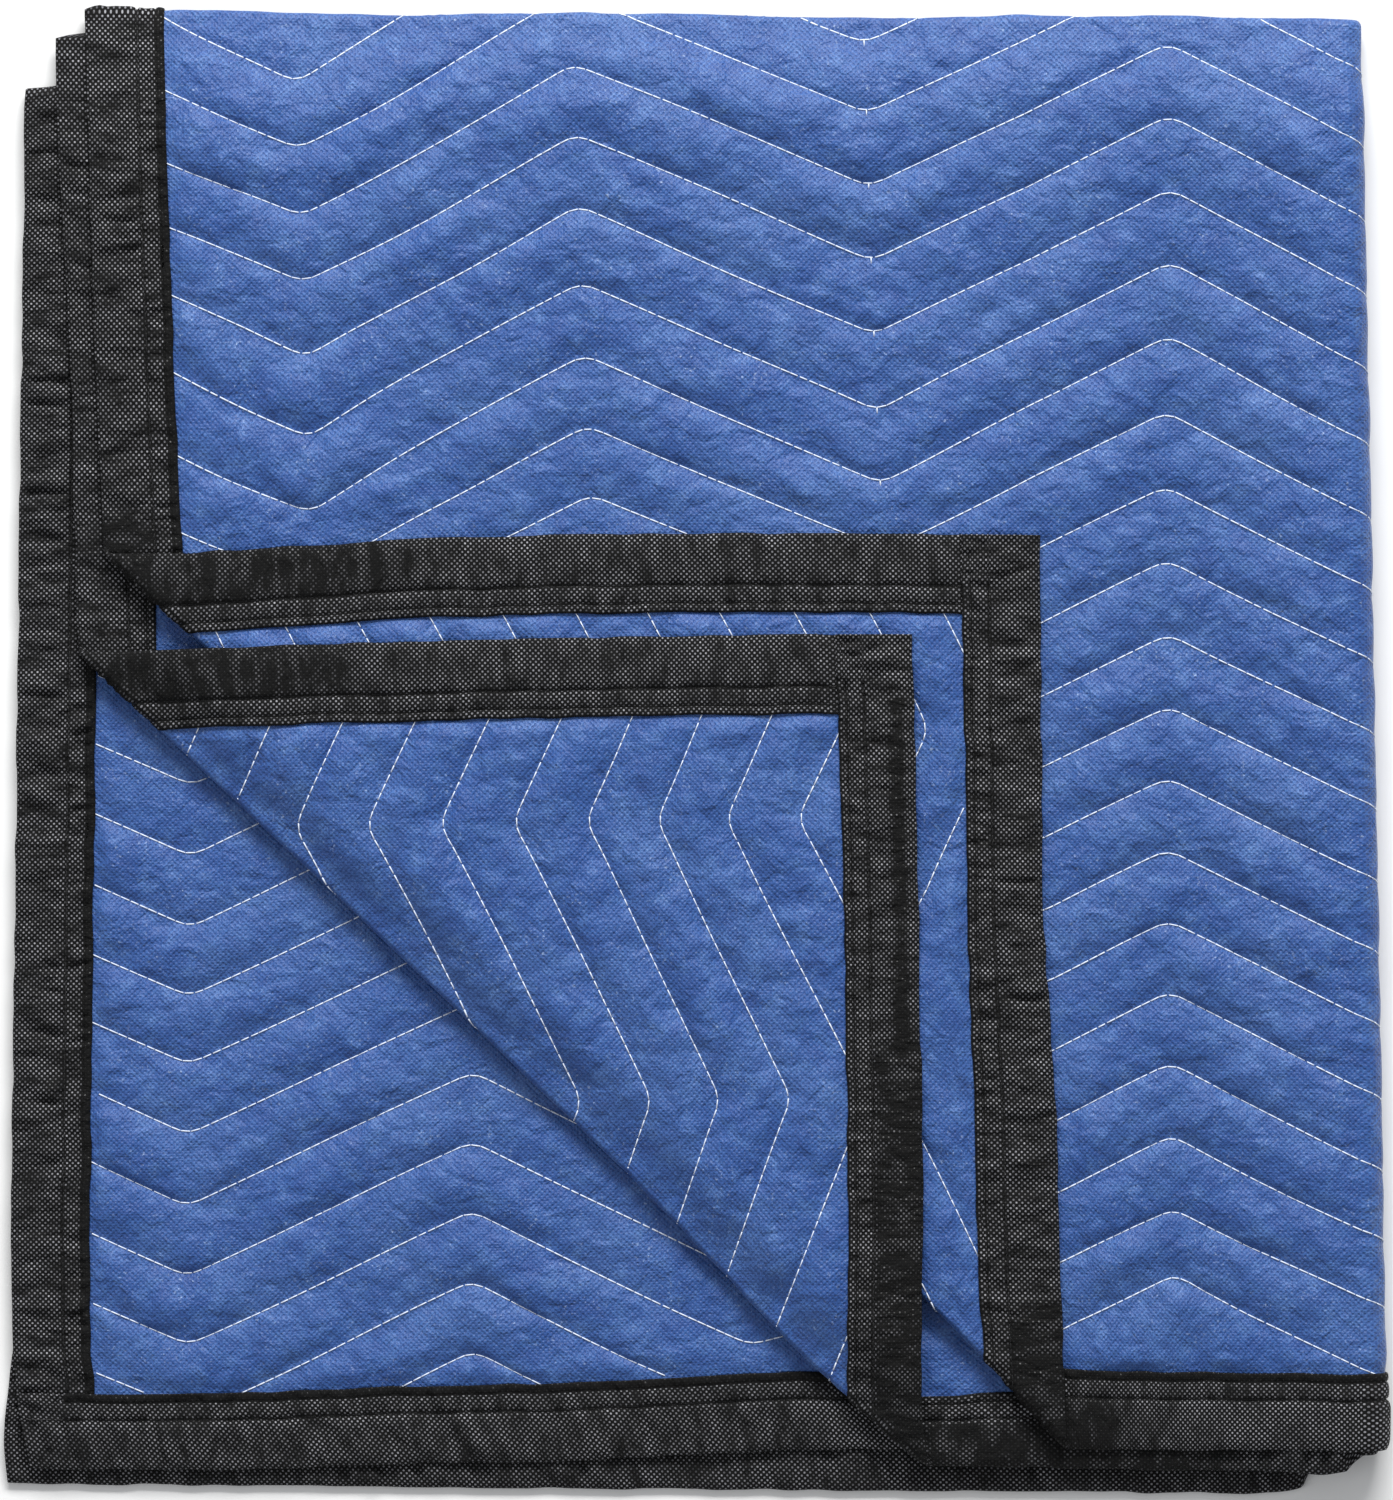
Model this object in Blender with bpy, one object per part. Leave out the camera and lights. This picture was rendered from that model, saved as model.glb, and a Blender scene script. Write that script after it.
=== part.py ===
"""A quilted moving blanket, folded in quarters, with its two upper corners turned back.

Metres, +Z up. The free edges of the folded blanket face -X and -Y, its folds +X and +Y.

The blanket is cut as an open sheet, with u across it (0 to WIDTH) and v along it (0 to LENGTH).
Every solid is drawn on the open sheet, divided along the lines where the cloth bends, and then
laid in its folds by one rule, folded_point(). The end fold comes first and joins the layers of a
leaf. The side fold comes second and lays one leaf on the other. Counted from the top, the layers
are outer_top, inner_top, inner_base and outer_base.
"""
import math

import bmesh
import bpy
from mathutils import Vector

# The open sheet.
WIDTH = 1.865
LENGTH = 2.040
SIDE_FOLD = 0.900
END_FOLD = 1.020

# Thickness, as distances from the middle of the cloth.
LAYER_STEP = 0.0068
CROWN_HALF = 0.0030
STITCH_HALF = 0.0017
HEM_HALF = 0.0016
REST_HALF = 0.0032

# Folds. The side fold stands open, so the upper leaf rises towards it.
END_RADIUS = LAYER_STEP / 2
SIDE_RISE = 0.012
SIDE_RADIUS = LAYER_STEP + SIDE_RISE / 2
END_ARC = END_RADIUS * math.pi / 2
SIDE_ARC = SIDE_RADIUS * math.pi / 2
END_STEPS = 4
SIDE_STEPS = 5
SIDE_SPAN = {"top": SIDE_FOLD - SIDE_ARC, "base": WIDTH - SIDE_FOLD - SIDE_ARC}
END_SPAN = {"outer": END_FOLD - END_ARC, "inner": LENGTH - END_FOLD - END_ARC}

# Rise of the upper leaf before the side fold: distance back from the bend, share of SIDE_RISE.
SIDE_SWELL = (
    {"back": 0.000, "share": 1.00},
    {"back": 0.020, "share": 0.86},
    {"back": 0.052, "share": 0.36},
    {"back": 0.090, "share": 0.00},
)

# Corners turned back: where each fold line meets the side edge and the end edge.
TURNED_CORNERS = {
    "outer": {"side": 0.666, "end": 0.653},
    "inner": {"side": 0.599, "end": 0.601},
}
# The inner corner climbs over the outer one: distance in from its fold, height gained.
INNER_CLIMB = (
    {"inwards": 0.000, "height": 0.0000},
    {"inwards": 0.009, "height": 0.0016},
    {"inwards": 0.021, "height": 0.0062},
    {"inwards": 0.033, "height": 0.0112},
    {"inwards": 0.045, "height": 0.0138},
)

# Quilting: zigzag rows across the sheet, each line shifted along v by this much.
ROW_PITCH = 0.0513
FIRST_ROW = 0.0243
COLUMN_STEP = 0.21
ZIGZAG = (
    {"u": 0.000, "shift": -0.049},
    {"u": 0.147, "shift": -0.121},
    {"u": 0.345, "shift": -0.018},
    {"u": 0.552, "shift": -0.103},
    {"u": 0.760, "shift": 0.000},
    {"u": 0.955, "shift": -0.100},
    {"u": 1.340, "shift": -0.011},
    {"u": 1.537, "shift": -0.116},
    {"u": 1.740, "shift": -0.025},
    {"u": WIDTH, "shift": -0.084},
)

# Binding: a strip folded round each edge of the sheet, with the panel's edge inside it.
BINDING_WIDTH = 0.056
BINDING_WALL = 0.0010
PIECE_GAP = 0.0003
PANEL_INSET = 0.0035
BINDING_INNER = HEM_HALF + PIECE_GAP
BINDING_OUTER = BINDING_INNER + BINDING_WALL
BINDING_STEP = 0.060
HEM_WIDTH = BINDING_WIDTH + 0.004
# Where an outline turns sharply, the bindings are divided more finely: place, by direction.
BINDING_TURNS = {
    "u": (0.945, 0.975, 1.005),
    "v": (1.035, 1.055, 1.075, 1.095, 1.120, 1.890, 1.935, 1.965),
}

# Where each layer lies: x of its side edge and y of its end edge, as they wander.
# "along" runs from 0 at the end edge to 1 at the end fold, "across" from the side edge to the
# side fold.
SIDE_EDGES = {
    "outer_top": (
        {"along": 0.00, "x": -0.385},
        {"along": 0.63, "x": -0.422},
        {"along": 0.82, "x": -0.431},
        {"along": 1.00, "x": -0.437},
    ),
    "inner_top": (
        {"along": 0.00, "x": -0.429},
        {"along": 0.57, "x": -0.441},
        {"along": 0.80, "x": -0.447},
        {"along": 0.93, "x": -0.455},
        {"along": 1.00, "x": -0.437},
    ),
    "inner_base": (
        {"along": 0.00, "x": -0.476},
        {"along": 0.06, "x": -0.486},
        {"along": 0.12, "x": -0.488},
        {"along": 0.37, "x": -0.485},
        {"along": 0.71, "x": -0.482},
        {"along": 1.00, "x": -0.478},
    ),
    "outer_base": (
        {"along": 0.00, "x": -0.489},
        {"along": 0.05, "x": -0.491},
        {"along": 0.12, "x": -0.485},
        {"along": 0.37, "x": -0.482},
        {"along": 0.71, "x": -0.480},
        {"along": 1.00, "x": -0.478},
    ),
}
END_EDGES = {
    "outer_top": (
        {"across": 0.00, "y": -0.505},
        {"across": 0.50, "y": -0.497},
        {"across": 1.00, "y": -0.497},
    ),
    "inner_top": (
        {"across": 0.00, "y": -0.519},
        {"across": 0.65, "y": -0.509},
        {"across": 0.92, "y": -0.511},
        {"across": 1.00, "y": -0.506},
    ),
    "inner_base": (
        {"across": 0.00, "y": -0.508},
        {"across": 0.35, "y": -0.506},
        {"across": 0.60, "y": -0.495},
        {"across": 0.80, "y": -0.498},
        {"across": 1.00, "y": -0.506},
    ),
    "outer_base": (
        {"across": 0.00, "y": -0.520},
        {"across": 0.30, "y": -0.524},
        {"across": 0.65, "y": -0.527},
        {"across": 0.88, "y": -0.524},
        {"across": 1.00, "y": -0.497},
    ),
}
# Outermost y of each leaf's end fold, and outermost x of the side fold.
END_FOLD_LINE = {
    "top": (
        {"across": 0.00, "y": 0.529},
        {"across": 0.45, "y": 0.523},
        {"across": 1.00, "y": 0.519},
    ),
    "base": (
        {"across": 0.00, "y": 0.470},
        {"across": 0.50, "y": 0.498},
        {"across": 1.00, "y": 0.519},
    ),
}
SIDE_FOLD_LINE = (
    {"along": 0.00, "x": 0.487},
    {"along": 0.31, "x": 0.480},
    {"along": 0.63, "x": 0.474},
    {"along": 1.00, "x": 0.469},
)
# A layer's slack along v is pushed towards the end fold by this power: 1 spreads it evenly.
END_SLACK_POWER = {"top": 6, "base": 1}
# Its slack along u is taken up between these shares of the way to the side fold.
SIDE_SLACK = (0.55, 0.89)


# ---------------------------------------------------------------- reading the tables

def straight_value(table, key, value, at):
    """Value at a place in a table, in straight steps between its rows."""
    if at <= table[0][key]:
        return table[0][value]
    for low, high in zip(table, table[1:]):
        if at <= high[key]:
            share = (at - low[key]) / (high[key] - low[key])
            return low[value] + share * (high[value] - low[value])
    return table[-1][value]


def smooth_value(table, key, value, at):
    """Value at a place in a table, on a smooth curve through its rows."""
    at = min(max(at, table[0][key]), table[-1][key])
    index = 0
    while index < len(table) - 2 and at > table[index + 1][key]:
        index += 1
    low, high = table[index], table[index + 1]
    span = high[key] - low[key]
    chord = (high[value] - low[value]) / span
    start, end = chord, chord
    if index > 0:
        before = table[index - 1]
        start = (high[value] - before[value]) / (high[key] - before[key])
    if index + 2 < len(table):
        after = table[index + 2]
        end = (after[value] - low[value]) / (after[key] - low[key])
    share = (at - low[key]) / span
    rest = 1 - share
    return (
        low[value] * rest * rest * (1 + 2 * share)
        + high[value] * share * share * (3 - 2 * share)
        + span * share * rest * (start * rest - end * share)
    )


def clamp(value, low, high):
    """Value held between two limits."""
    return min(max(value, low), high)


# ---------------------------------------------------------------- quilting and thickness

def quilt_rows(u, v):
    """Number of quilting rows between the sheet's first row and a point of it."""
    return (v - FIRST_ROW - straight_value(ZIGZAG, "u", "shift", u)) / ROW_PITCH


def panel_half(u, v, on_face):
    """Distance of the panel's surface from the middle of the cloth."""
    tolerance = 1e-6
    if min(u, WIDTH - u, v, LENGTH - v) < HEM_WIDTH + tolerance:
        return HEM_HALF
    in_base = u > SIDE_FOLD + SIDE_ARC - tolerance and v < END_FOLD - END_ARC + tolerance
    if on_face and in_base:
        return REST_HALF
    rows = quilt_rows(u, v)
    crown = 2 * abs(rows - round(rows))
    return STITCH_HALF + (CROWN_HALF - STITCH_HALF) * crown


# ---------------------------------------------------------------- folding

def turn(share, steps):
    """Cosine and sine of the half turn of a bend, at a share of it, in flat facets."""
    place = clamp(share, 0, 1) * steps
    step = min(int(place), steps - 1)
    part = place - step
    start, end = math.pi * step / steps, math.pi * (step + 1) / steps
    cosine = math.cos(start) + part * (math.cos(end) - math.cos(start))
    sine = math.sin(start) + part * (math.sin(end) - math.sin(start))
    return cosine, sine


def turned_back(from_side, from_end, up, corner):
    """Point of an upper layer after its corner has been turned back on the fold line.

    Places are distances from the layer's side edge and end edge, and height above its middle.
    """
    line = TURNED_CORNERS[corner]
    reach = math.hypot(line["side"], line["end"])
    out_side = -line["side"] / reach
    out_end = -line["end"] / reach
    past = line["side"] * line["end"] / reach + out_side * from_side + out_end * from_end
    if past <= 0:
        return from_side, from_end, up
    cosine, sine = turn(past / (2 * END_ARC), END_STEPS)
    inwards = max(past - 2 * END_ARC, 0)
    shift = (END_RADIUS - up) * sine - inwards
    up = END_RADIUS - (END_RADIUS - up) * cosine
    if corner == "inner":
        up += straight_value(INNER_CLIMB, "inwards", "height", inwards)
    from_side += out_side * (shift - past)
    from_end += out_end * (shift - past)
    return from_side, from_end, up


def layer_place(leaf, layer, from_side, from_end):
    """Plan position of a point of a layer, from its distances to its side and end edges."""
    name = layer + "_" + leaf
    side_span, end_span = SIDE_SPAN[leaf], END_SPAN[layer]
    from_side = min(from_side, side_span)
    from_end = min(from_end, end_span)
    across, along = from_side / side_span, from_end / end_span
    side_x = smooth_value(SIDE_EDGES[name], "along", "x", along)
    end_y = smooth_value(END_EDGES[name], "across", "y", across)
    fold_x = smooth_value(SIDE_FOLD_LINE, "along", "x", along)
    fold_x -= SIDE_RADIUS + END_RADIUS + CROWN_HALF
    fold_y = smooth_value(END_FOLD_LINE[leaf], "across", "y", across)
    fold_y -= END_RADIUS + CROWN_HALF
    share = clamp((across - SIDE_SLACK[0]) / (SIDE_SLACK[1] - SIDE_SLACK[0]), 0, 1)
    taken_up = share * share * (3 - 2 * share)
    x = side_x + from_side + (fold_x - side_x - side_span) * taken_up
    y = end_y + from_end + (fold_y - end_y - end_span) * along ** END_SLACK_POWER[leaf]
    return x, y


def folded_point(u, v, w):
    """Place in the folded blanket of a point of the open sheet, w off the cloth's middle."""
    if u < SIDE_FOLD and v < END_FOLD:
        u, v, w = turned_back(u, v, w, "outer")
    elif u < SIDE_FOLD:
        u, from_end, up = turned_back(u, LENGTH - v, -w, "inner")
        v, w = LENGTH - from_end, -up

    inner_share = clamp((v - END_FOLD + END_ARC) / (2 * END_ARC), 0, 1)
    base_share = clamp((u - SIDE_FOLD + SIDE_ARC) / (2 * SIDE_ARC), 0, 1)
    x, y = 0.0, 0.0
    for leaf, leaf_share in (("top", 1 - base_share), ("base", base_share)):
        for layer, layer_share in (("outer", 1 - inner_share), ("inner", inner_share)):
            if leaf_share * layer_share > 0:
                from_side = u if leaf == "top" else WIDTH - u
                from_end = v if layer == "outer" else LENGTH - v
                place = layer_place(leaf, layer, from_side, from_end)
                x += leaf_share * layer_share * place[0]
                y += leaf_share * layer_share * place[1]

    end_cosine, end_sine = turn(inner_share, END_STEPS)
    off_leaf = (END_RADIUS + w) * end_cosine
    back = max(SIDE_FOLD - SIDE_ARC - u, 0)
    radius = LAYER_STEP + SIDE_RISE * straight_value(SIDE_SWELL, "back", "share", back) / 2
    side_cosine, side_sine = turn(base_share, SIDE_STEPS)
    x += (radius + off_leaf) * side_sine
    y += (END_RADIUS + w) * end_sine
    z = REST_HALF + LAYER_STEP / 2 + radius + (radius + off_leaf) * side_cosine
    return Vector((x, y, z))


# ---------------------------------------------------------------- drawing on the open sheet

def bend_lines():
    """Lines of the open sheet along which the cloth bends, each as a point and a normal."""
    lines = []
    for step in range(SIDE_STEPS + 1):
        lines.append(((SIDE_FOLD + SIDE_ARC * (2 * step / SIDE_STEPS - 1), 0), (1, 0)))
    for row in SIDE_SWELL[1:]:
        lines.append(((SIDE_FOLD - SIDE_ARC - row["back"], 0), (1, 0)))
    for step in range(END_STEPS + 1):
        lines.append(((0, END_FOLD + END_ARC * (2 * step / END_STEPS - 1)), (0, 1)))
    for corner, line in TURNED_CORNERS.items():
        reach = math.hypot(line["side"], line["end"])
        pasts = [2 * END_ARC * step / END_STEPS for step in range(END_STEPS + 1)]
        if corner == "inner":
            pasts += [pasts[-1] + row["inwards"] for row in INNER_CLIMB[1:]]
        for past in pasts:
            from_side = line["end"] - past * reach / line["side"]
            if corner == "outer":
                lines.append(((from_side, 0), (line["side"], line["end"])))
            else:
                lines.append(((from_side, LENGTH), (line["side"], -line["end"])))
    return lines


def divide(sheet, lines):
    """Divide a mesh on the open sheet along lines of it."""
    for point, normal in lines:
        bmesh.ops.bisect_plane(
            sheet,
            geom=sheet.verts[:] + sheet.edges[:] + sheet.faces[:],
            dist=1e-5,
            plane_co=(*point, 0),
            plane_no=Vector((*normal, 0)).normalized(),
        )


def trim(sheet, point, outwards):
    """Cut away what lies outside a line of the open sheet."""
    bmesh.ops.bisect_plane(
        sheet,
        geom=sheet.verts[:] + sheet.edges[:] + sheet.faces[:],
        dist=1e-5,
        plane_co=(*point, 0),
        plane_no=(*outwards, 0),
        clear_outer=True,
    )


def panel_columns():
    """u of the panel's columns: the zigzag's turns, and places between those far apart."""
    turns = [row["u"] for row in ZIGZAG]
    columns = turns[:1]
    for low, high in zip(turns, turns[1:]):
        count = math.ceil((high - low) / COLUMN_STEP)
        columns += [low + (high - low) * step / count for step in range(1, count + 1)]
    return columns


def quilted_sheet():
    """Open panel with no thickness, divided along its stitch lines and crown lines."""
    shifts = [row["shift"] for row in ZIGZAG]
    half_pitch = ROW_PITCH / 2
    first = math.floor((-FIRST_ROW - max(shifts)) / half_pitch)
    last = math.ceil((LENGTH - FIRST_ROW - min(shifts)) / half_pitch)
    sheet = bmesh.new()
    columns = []
    for u in panel_columns():
        shift = straight_value(ZIGZAG, "u", "shift", u)
        lines = [FIRST_ROW + shift + row * half_pitch for row in range(first, last + 1)]
        columns.append([sheet.verts.new((u, v, 0)) for v in lines])
    for left, right in zip(columns, columns[1:]):
        for low in range(len(left) - 1):
            sheet.faces.new((left[low], right[low], right[low + 1], left[low + 1]))
    trim(sheet, (PANEL_INSET, PANEL_INSET), (-1, 0))
    trim(sheet, (PANEL_INSET, PANEL_INSET), (0, -1))
    trim(sheet, (WIDTH - PANEL_INSET, LENGTH - PANEL_INSET), (1, 0))
    trim(sheet, (WIDTH - PANEL_INSET, LENGTH - PANEL_INSET), (0, 1))
    hems = [((HEM_WIDTH, 0), (1, 0)), ((WIDTH - HEM_WIDTH, 0), (1, 0))]
    hems += [((0, HEM_WIDTH), (0, 1)), ((0, LENGTH - HEM_WIDTH), (0, 1))]
    divide(sheet, hems + bend_lines())
    bmesh.ops.remove_doubles(sheet, verts=sheet.verts[:], dist=0.0002)
    bmesh.ops.triangulate(sheet, faces=sheet.faces[:])
    return sheet


def thickened(sheet):
    """Closed solid on the open sheet, with the panel's thickness on both sides of it."""
    solid = bmesh.new()
    face_side, back_side = {}, {}
    for vert in sheet.verts:
        u, v = vert.co.x, vert.co.y
        face_side[vert] = solid.verts.new((u, v, panel_half(u, v, True)))
        back_side[vert] = solid.verts.new((u, v, -panel_half(u, v, False)))
    for face in sheet.faces:
        corners = list(face.verts)
        solid.faces.new([face_side[vert] for vert in corners])
        solid.faces.new([back_side[vert] for vert in reversed(corners)])
    for edge in sheet.edges:
        if edge.is_boundary:
            loop = edge.link_loops[0]
            start, end = loop.vert, loop.link_loop_next.vert
            wall = (face_side[end], face_side[start], back_side[start], back_side[end])
            solid.faces.new(wall)
    sheet.free()
    return solid


def binding_profile():
    """Section of a binding: depth in from the sheet's edge, and height off the cloth."""
    mouth, wall = BINDING_WIDTH, BINDING_WALL
    outside = [(mouth, -1), (0, -1), (0, 1), (mouth, 1)]
    inside = [(mouth, 1), (wall, 1), (wall, -1), (mouth, -1)]
    section = [(depth, side * BINDING_OUTER) for depth, side in outside]
    return section + [(depth, side * BINDING_INNER) for depth, side in inside]


def binding_strip(start, end, place, closed_ends):
    """Channel round one edge of the open sheet, from one place along it to another.

    place() turns a distance along the edge and a depth into u and v. A closed end has a wall.
    """
    count = math.ceil((end - start) / BINDING_STEP)
    stations = [start + (end - start) * step / count for step in range(count + 1)]
    if closed_ends:
        stations[1:1] = [start + BINDING_WALL]
        stations[-1:-1] = [end - BINDING_WALL]
    strip = bmesh.new()
    rings = []
    for along in stations:
        ring = [strip.verts.new((*place(along, depth), w)) for depth, w in binding_profile()]
        rings.append(ring)
    last = len(rings) - 1
    for index, (near, far) in enumerate(zip(rings, rings[1:])):
        walled = closed_ends and index in (0, last - 1)
        sides = [(0, 1), (1, 2), (2, 3), (3, 4), (7, 0)]
        sides += [(4, 7)] if walled else [(4, 5), (5, 6), (6, 7)]
        for a, b in sides:
            strip.faces.new((near[a], near[b], far[b], far[a]))
    if closed_ends:
        for ring in (rings[0], rings[last]):
            strip.faces.new([ring[index] for index in (0, 1, 2, 3, 4, 7)])
            bmesh.ops.delete(strip, geom=[ring[5], ring[6]], context="VERTS")
        for ring in (rings[1], rings[last - 1]):
            strip.faces.new(ring[4:])
    else:
        for ring in (rings[0], rings[last]):
            strip.faces.new(ring)
    turns = [((u, 0), (1, 0)) for u in BINDING_TURNS["u"]]
    turns += [((0, v), (0, 1)) for v in BINDING_TURNS["v"]]
    divide(strip, turns + bend_lines())
    bmesh.ops.triangulate(strip, faces=strip.faces[:])
    bmesh.ops.recalc_face_normals(strip, faces=strip.faces[:])
    return strip


# ---------------------------------------------------------------- materials and objects

def cloth_material(name, color, roughness):
    """Plain cloth finish."""
    material = bpy.data.materials.new(name)
    material.use_nodes = True
    shader = material.node_tree.nodes["Principled BSDF"]
    shader.inputs["Base Color"].default_value = (*color, 1)
    shader.inputs["Roughness"].default_value = roughness
    shader.inputs["Metallic"].default_value = 0.0
    return material


def folded_object(name, solid, material):
    """Named object made by laying a solid of the open sheet in the blanket's folds."""
    for vert in solid.verts:
        vert.co = folded_point(*vert.co)
    bmesh.ops.triangulate(solid, faces=solid.faces[:])
    mesh = bpy.data.meshes.new(name)
    solid.to_mesh(mesh)
    solid.free()
    mesh.materials.append(material)
    made = bpy.data.objects.new(name, mesh)
    bpy.context.scene.collection.objects.link(made)
    return made


def make_panel(material):
    """The quilted panel: two covers with padding between, as one solid."""
    return folded_object("quilted_panel", thickened(quilted_sheet()), material)


def make_bindings(material):
    """Four bindings. Those on the end edges run the full width and lap the other two."""
    low = BINDING_WIDTH + PIECE_GAP
    high = LENGTH - low
    strips = {
        "side_binding_top": (low, high, lambda along, depth: (depth, along), False),
        "side_binding_base": (low, high, lambda along, depth: (WIDTH - depth, along), False),
        "end_binding_outer": (0, WIDTH, lambda along, depth: (along, depth), True),
        "end_binding_inner": (0, WIDTH, lambda along, depth: (along, LENGTH - depth), True),
    }
    return [folded_object(name, binding_strip(*how), material) for name, how in strips.items()]


def stand_on_origin(made):
    """Move the meshes so that the origin is under the middle of their common box."""
    points = [vert.co for item in made for vert in item.data.vertices]
    low = Vector([min(point[axis] for point in points) for axis in range(3)])
    high = Vector([max(point[axis] for point in points) for axis in range(3)])
    foot = Vector(((low.x + high.x) / 2, (low.y + high.y) / 2, low.z))
    for item in made:
        for vert in item.data.vertices:
            vert.co -= foot


def main():
    """Build the blanket."""
    for item in list(bpy.data.objects):
        bpy.data.objects.remove(item, do_unlink=True)
    cover = cloth_material("blue_nonwoven_cover", (0.058, 0.150, 0.445), 0.85)
    binding = cloth_material("black_nonwoven_binding", (0.020, 0.020, 0.021), 0.7)
    stand_on_origin([make_panel(cover)] + make_bindings(binding))


main()
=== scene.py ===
"""Dressed model of a quilted moving blanket, folded in quarters with two corners turned back.

The cloth is worked out on the open sheet, where u runs across it and v along it, and is laid in
its folds by FoldPlan. Covers, bindings and thread all pass through that one plan, so they keep
to each other. Lengths are in metres.
"""

import logging
import math
from dataclasses import dataclass, field
from enum import Enum
from typing import Any, Callable, Mapping, NamedTuple, Sequence

import bmesh
import bpy
import numpy as np
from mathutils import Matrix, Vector

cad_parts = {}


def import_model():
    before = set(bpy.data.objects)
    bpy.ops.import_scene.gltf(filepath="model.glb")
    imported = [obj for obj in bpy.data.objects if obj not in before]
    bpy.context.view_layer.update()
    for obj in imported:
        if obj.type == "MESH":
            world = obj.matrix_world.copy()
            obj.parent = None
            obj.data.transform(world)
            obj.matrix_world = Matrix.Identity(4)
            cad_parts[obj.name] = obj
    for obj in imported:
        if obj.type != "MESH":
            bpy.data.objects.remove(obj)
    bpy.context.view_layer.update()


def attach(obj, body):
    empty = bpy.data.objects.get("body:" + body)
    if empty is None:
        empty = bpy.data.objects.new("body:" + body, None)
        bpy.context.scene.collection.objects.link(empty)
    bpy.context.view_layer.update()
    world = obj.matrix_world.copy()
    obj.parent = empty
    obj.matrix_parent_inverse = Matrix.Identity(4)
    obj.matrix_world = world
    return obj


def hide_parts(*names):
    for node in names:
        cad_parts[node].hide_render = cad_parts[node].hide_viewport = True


LOG = logging.getLogger("blanket")
Array = np.ndarray
BODY = "root"


class Leaf(Enum):
    """Half of the folded blanket, above or below the side fold."""

    TOP = "top"
    BASE = "base"


class Layer(Enum):
    """Layer of a leaf: the outer one holds v = 0, the inner one the far end of the sheet."""

    OUTER = "outer"
    INNER = "inner"


class Side(Enum):
    """Side of the cloth. The value is the way its surface lies from the middle of the cloth."""

    FRONT = 1
    BACK = -1


# ---------------------------------------------------------------- tables and noise


def smoothstep(low: float, high: float, at: Array) -> Array:
    """Share from 0 at low to 1 at high, with a soft start and end."""
    share = np.clip((at - low) / (high - low), 0.0, 1.0)
    return share * share * (3.0 - 2.0 * share)


@dataclass(frozen=True)
class Curve:
    """Smooth curve through a few rows of a place and a value.

    Args:
        rows: Pairs of a place and the value there, in rising places.
        straight: Whether the curve runs straight between its rows.
    """

    rows: Sequence[tuple[float, float]]
    straight: bool = False

    def at(self, places: Array) -> Array:
        """Read the curve.

        Args:
            places: Where to read it. Beyond its ends it keeps its end values.

        Returns:
            The values there.
        """
        knots, values = (np.array(column, dtype=float) for column in zip(*self.rows))
        if self.straight:
            return np.interp(places, knots, values)
        places = np.clip(places, knots[0], knots[-1])
        slopes = np.gradient(values) / np.gradient(knots)
        index = np.clip(np.searchsorted(knots, places, side="right") - 1, 0, len(knots) - 2)
        span = knots[index + 1] - knots[index]
        share = (places - knots[index]) / span
        rest = 1.0 - share
        return (
            values[index] * rest * rest * (1.0 + 2.0 * share)
            + values[index + 1] * share * share * (3.0 - 2.0 * share)
            + span * share * rest * (slopes[index] * rest - slopes[index + 1] * share)
        )


@dataclass(frozen=True)
class Unevenness:
    """Soft random hills and hollows of one size, the same on each run.

    Args:
        size: Distance between hills.
        height: Greatest height of a hill.
        seed: Start of the random series.
        stretch: How much longer than wide the hills are.
        angle: Direction of their length, in degrees from x.
    """

    size: float
    height: float
    seed: int
    stretch: float = 1.0
    angle: float = 0.0

    def at(self, x: Array, y: Array) -> Array:
        """Height of the hills at points.

        Args:
            x: First coordinates.
            y: Second coordinates.

        Returns:
            Heights, above or below zero.
        """
        cells, middle = 97, 40.0
        heights = np.random.default_rng(self.seed).uniform(-1.0, 1.0, (cells, cells))
        turned = math.radians(self.angle)
        length = x * math.cos(turned) + y * math.sin(turned)
        breadth = y * math.cos(turned) - x * math.sin(turned)
        across = length / (self.size * self.stretch) + middle
        along = breadth / self.size + middle
        column, row = np.floor(across).astype(int), np.floor(along).astype(int)
        part_x, part_y = across - column, along - row
        ease_x = part_x * part_x * (3.0 - 2.0 * part_x)
        ease_y = part_y * part_y * (3.0 - 2.0 * part_y)
        column, row = column % (cells - 1), row % (cells - 1)
        low = heights[column, row] * (1 - ease_x) + heights[column + 1, row] * ease_x
        high = heights[column, row + 1] * (1 - ease_x) + heights[column + 1, row + 1] * ease_x
        return self.height * (low * (1 - ease_y) + high * ease_y)


# ---------------------------------------------------------------- the folded cloth


class TurnedCorner(NamedTuple):
    """Fold line of a corner: where it meets the layer's side edge and its end edge."""

    side: float
    end: float


class Drift(NamedTuple):
    """How far the edges of a turned corner stray from where a flat fold would lay them.

    Each curve's places are distances from the corner along that edge of the cloth.
    """

    end_edge_x: Curve
    side_edge_y: Curve


class Crease(NamedTuple):
    """Soft trough or ridge across the folded blanket, in plan."""

    x: float
    y: float
    angle: float
    length: float
    width: float
    height: float


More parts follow.
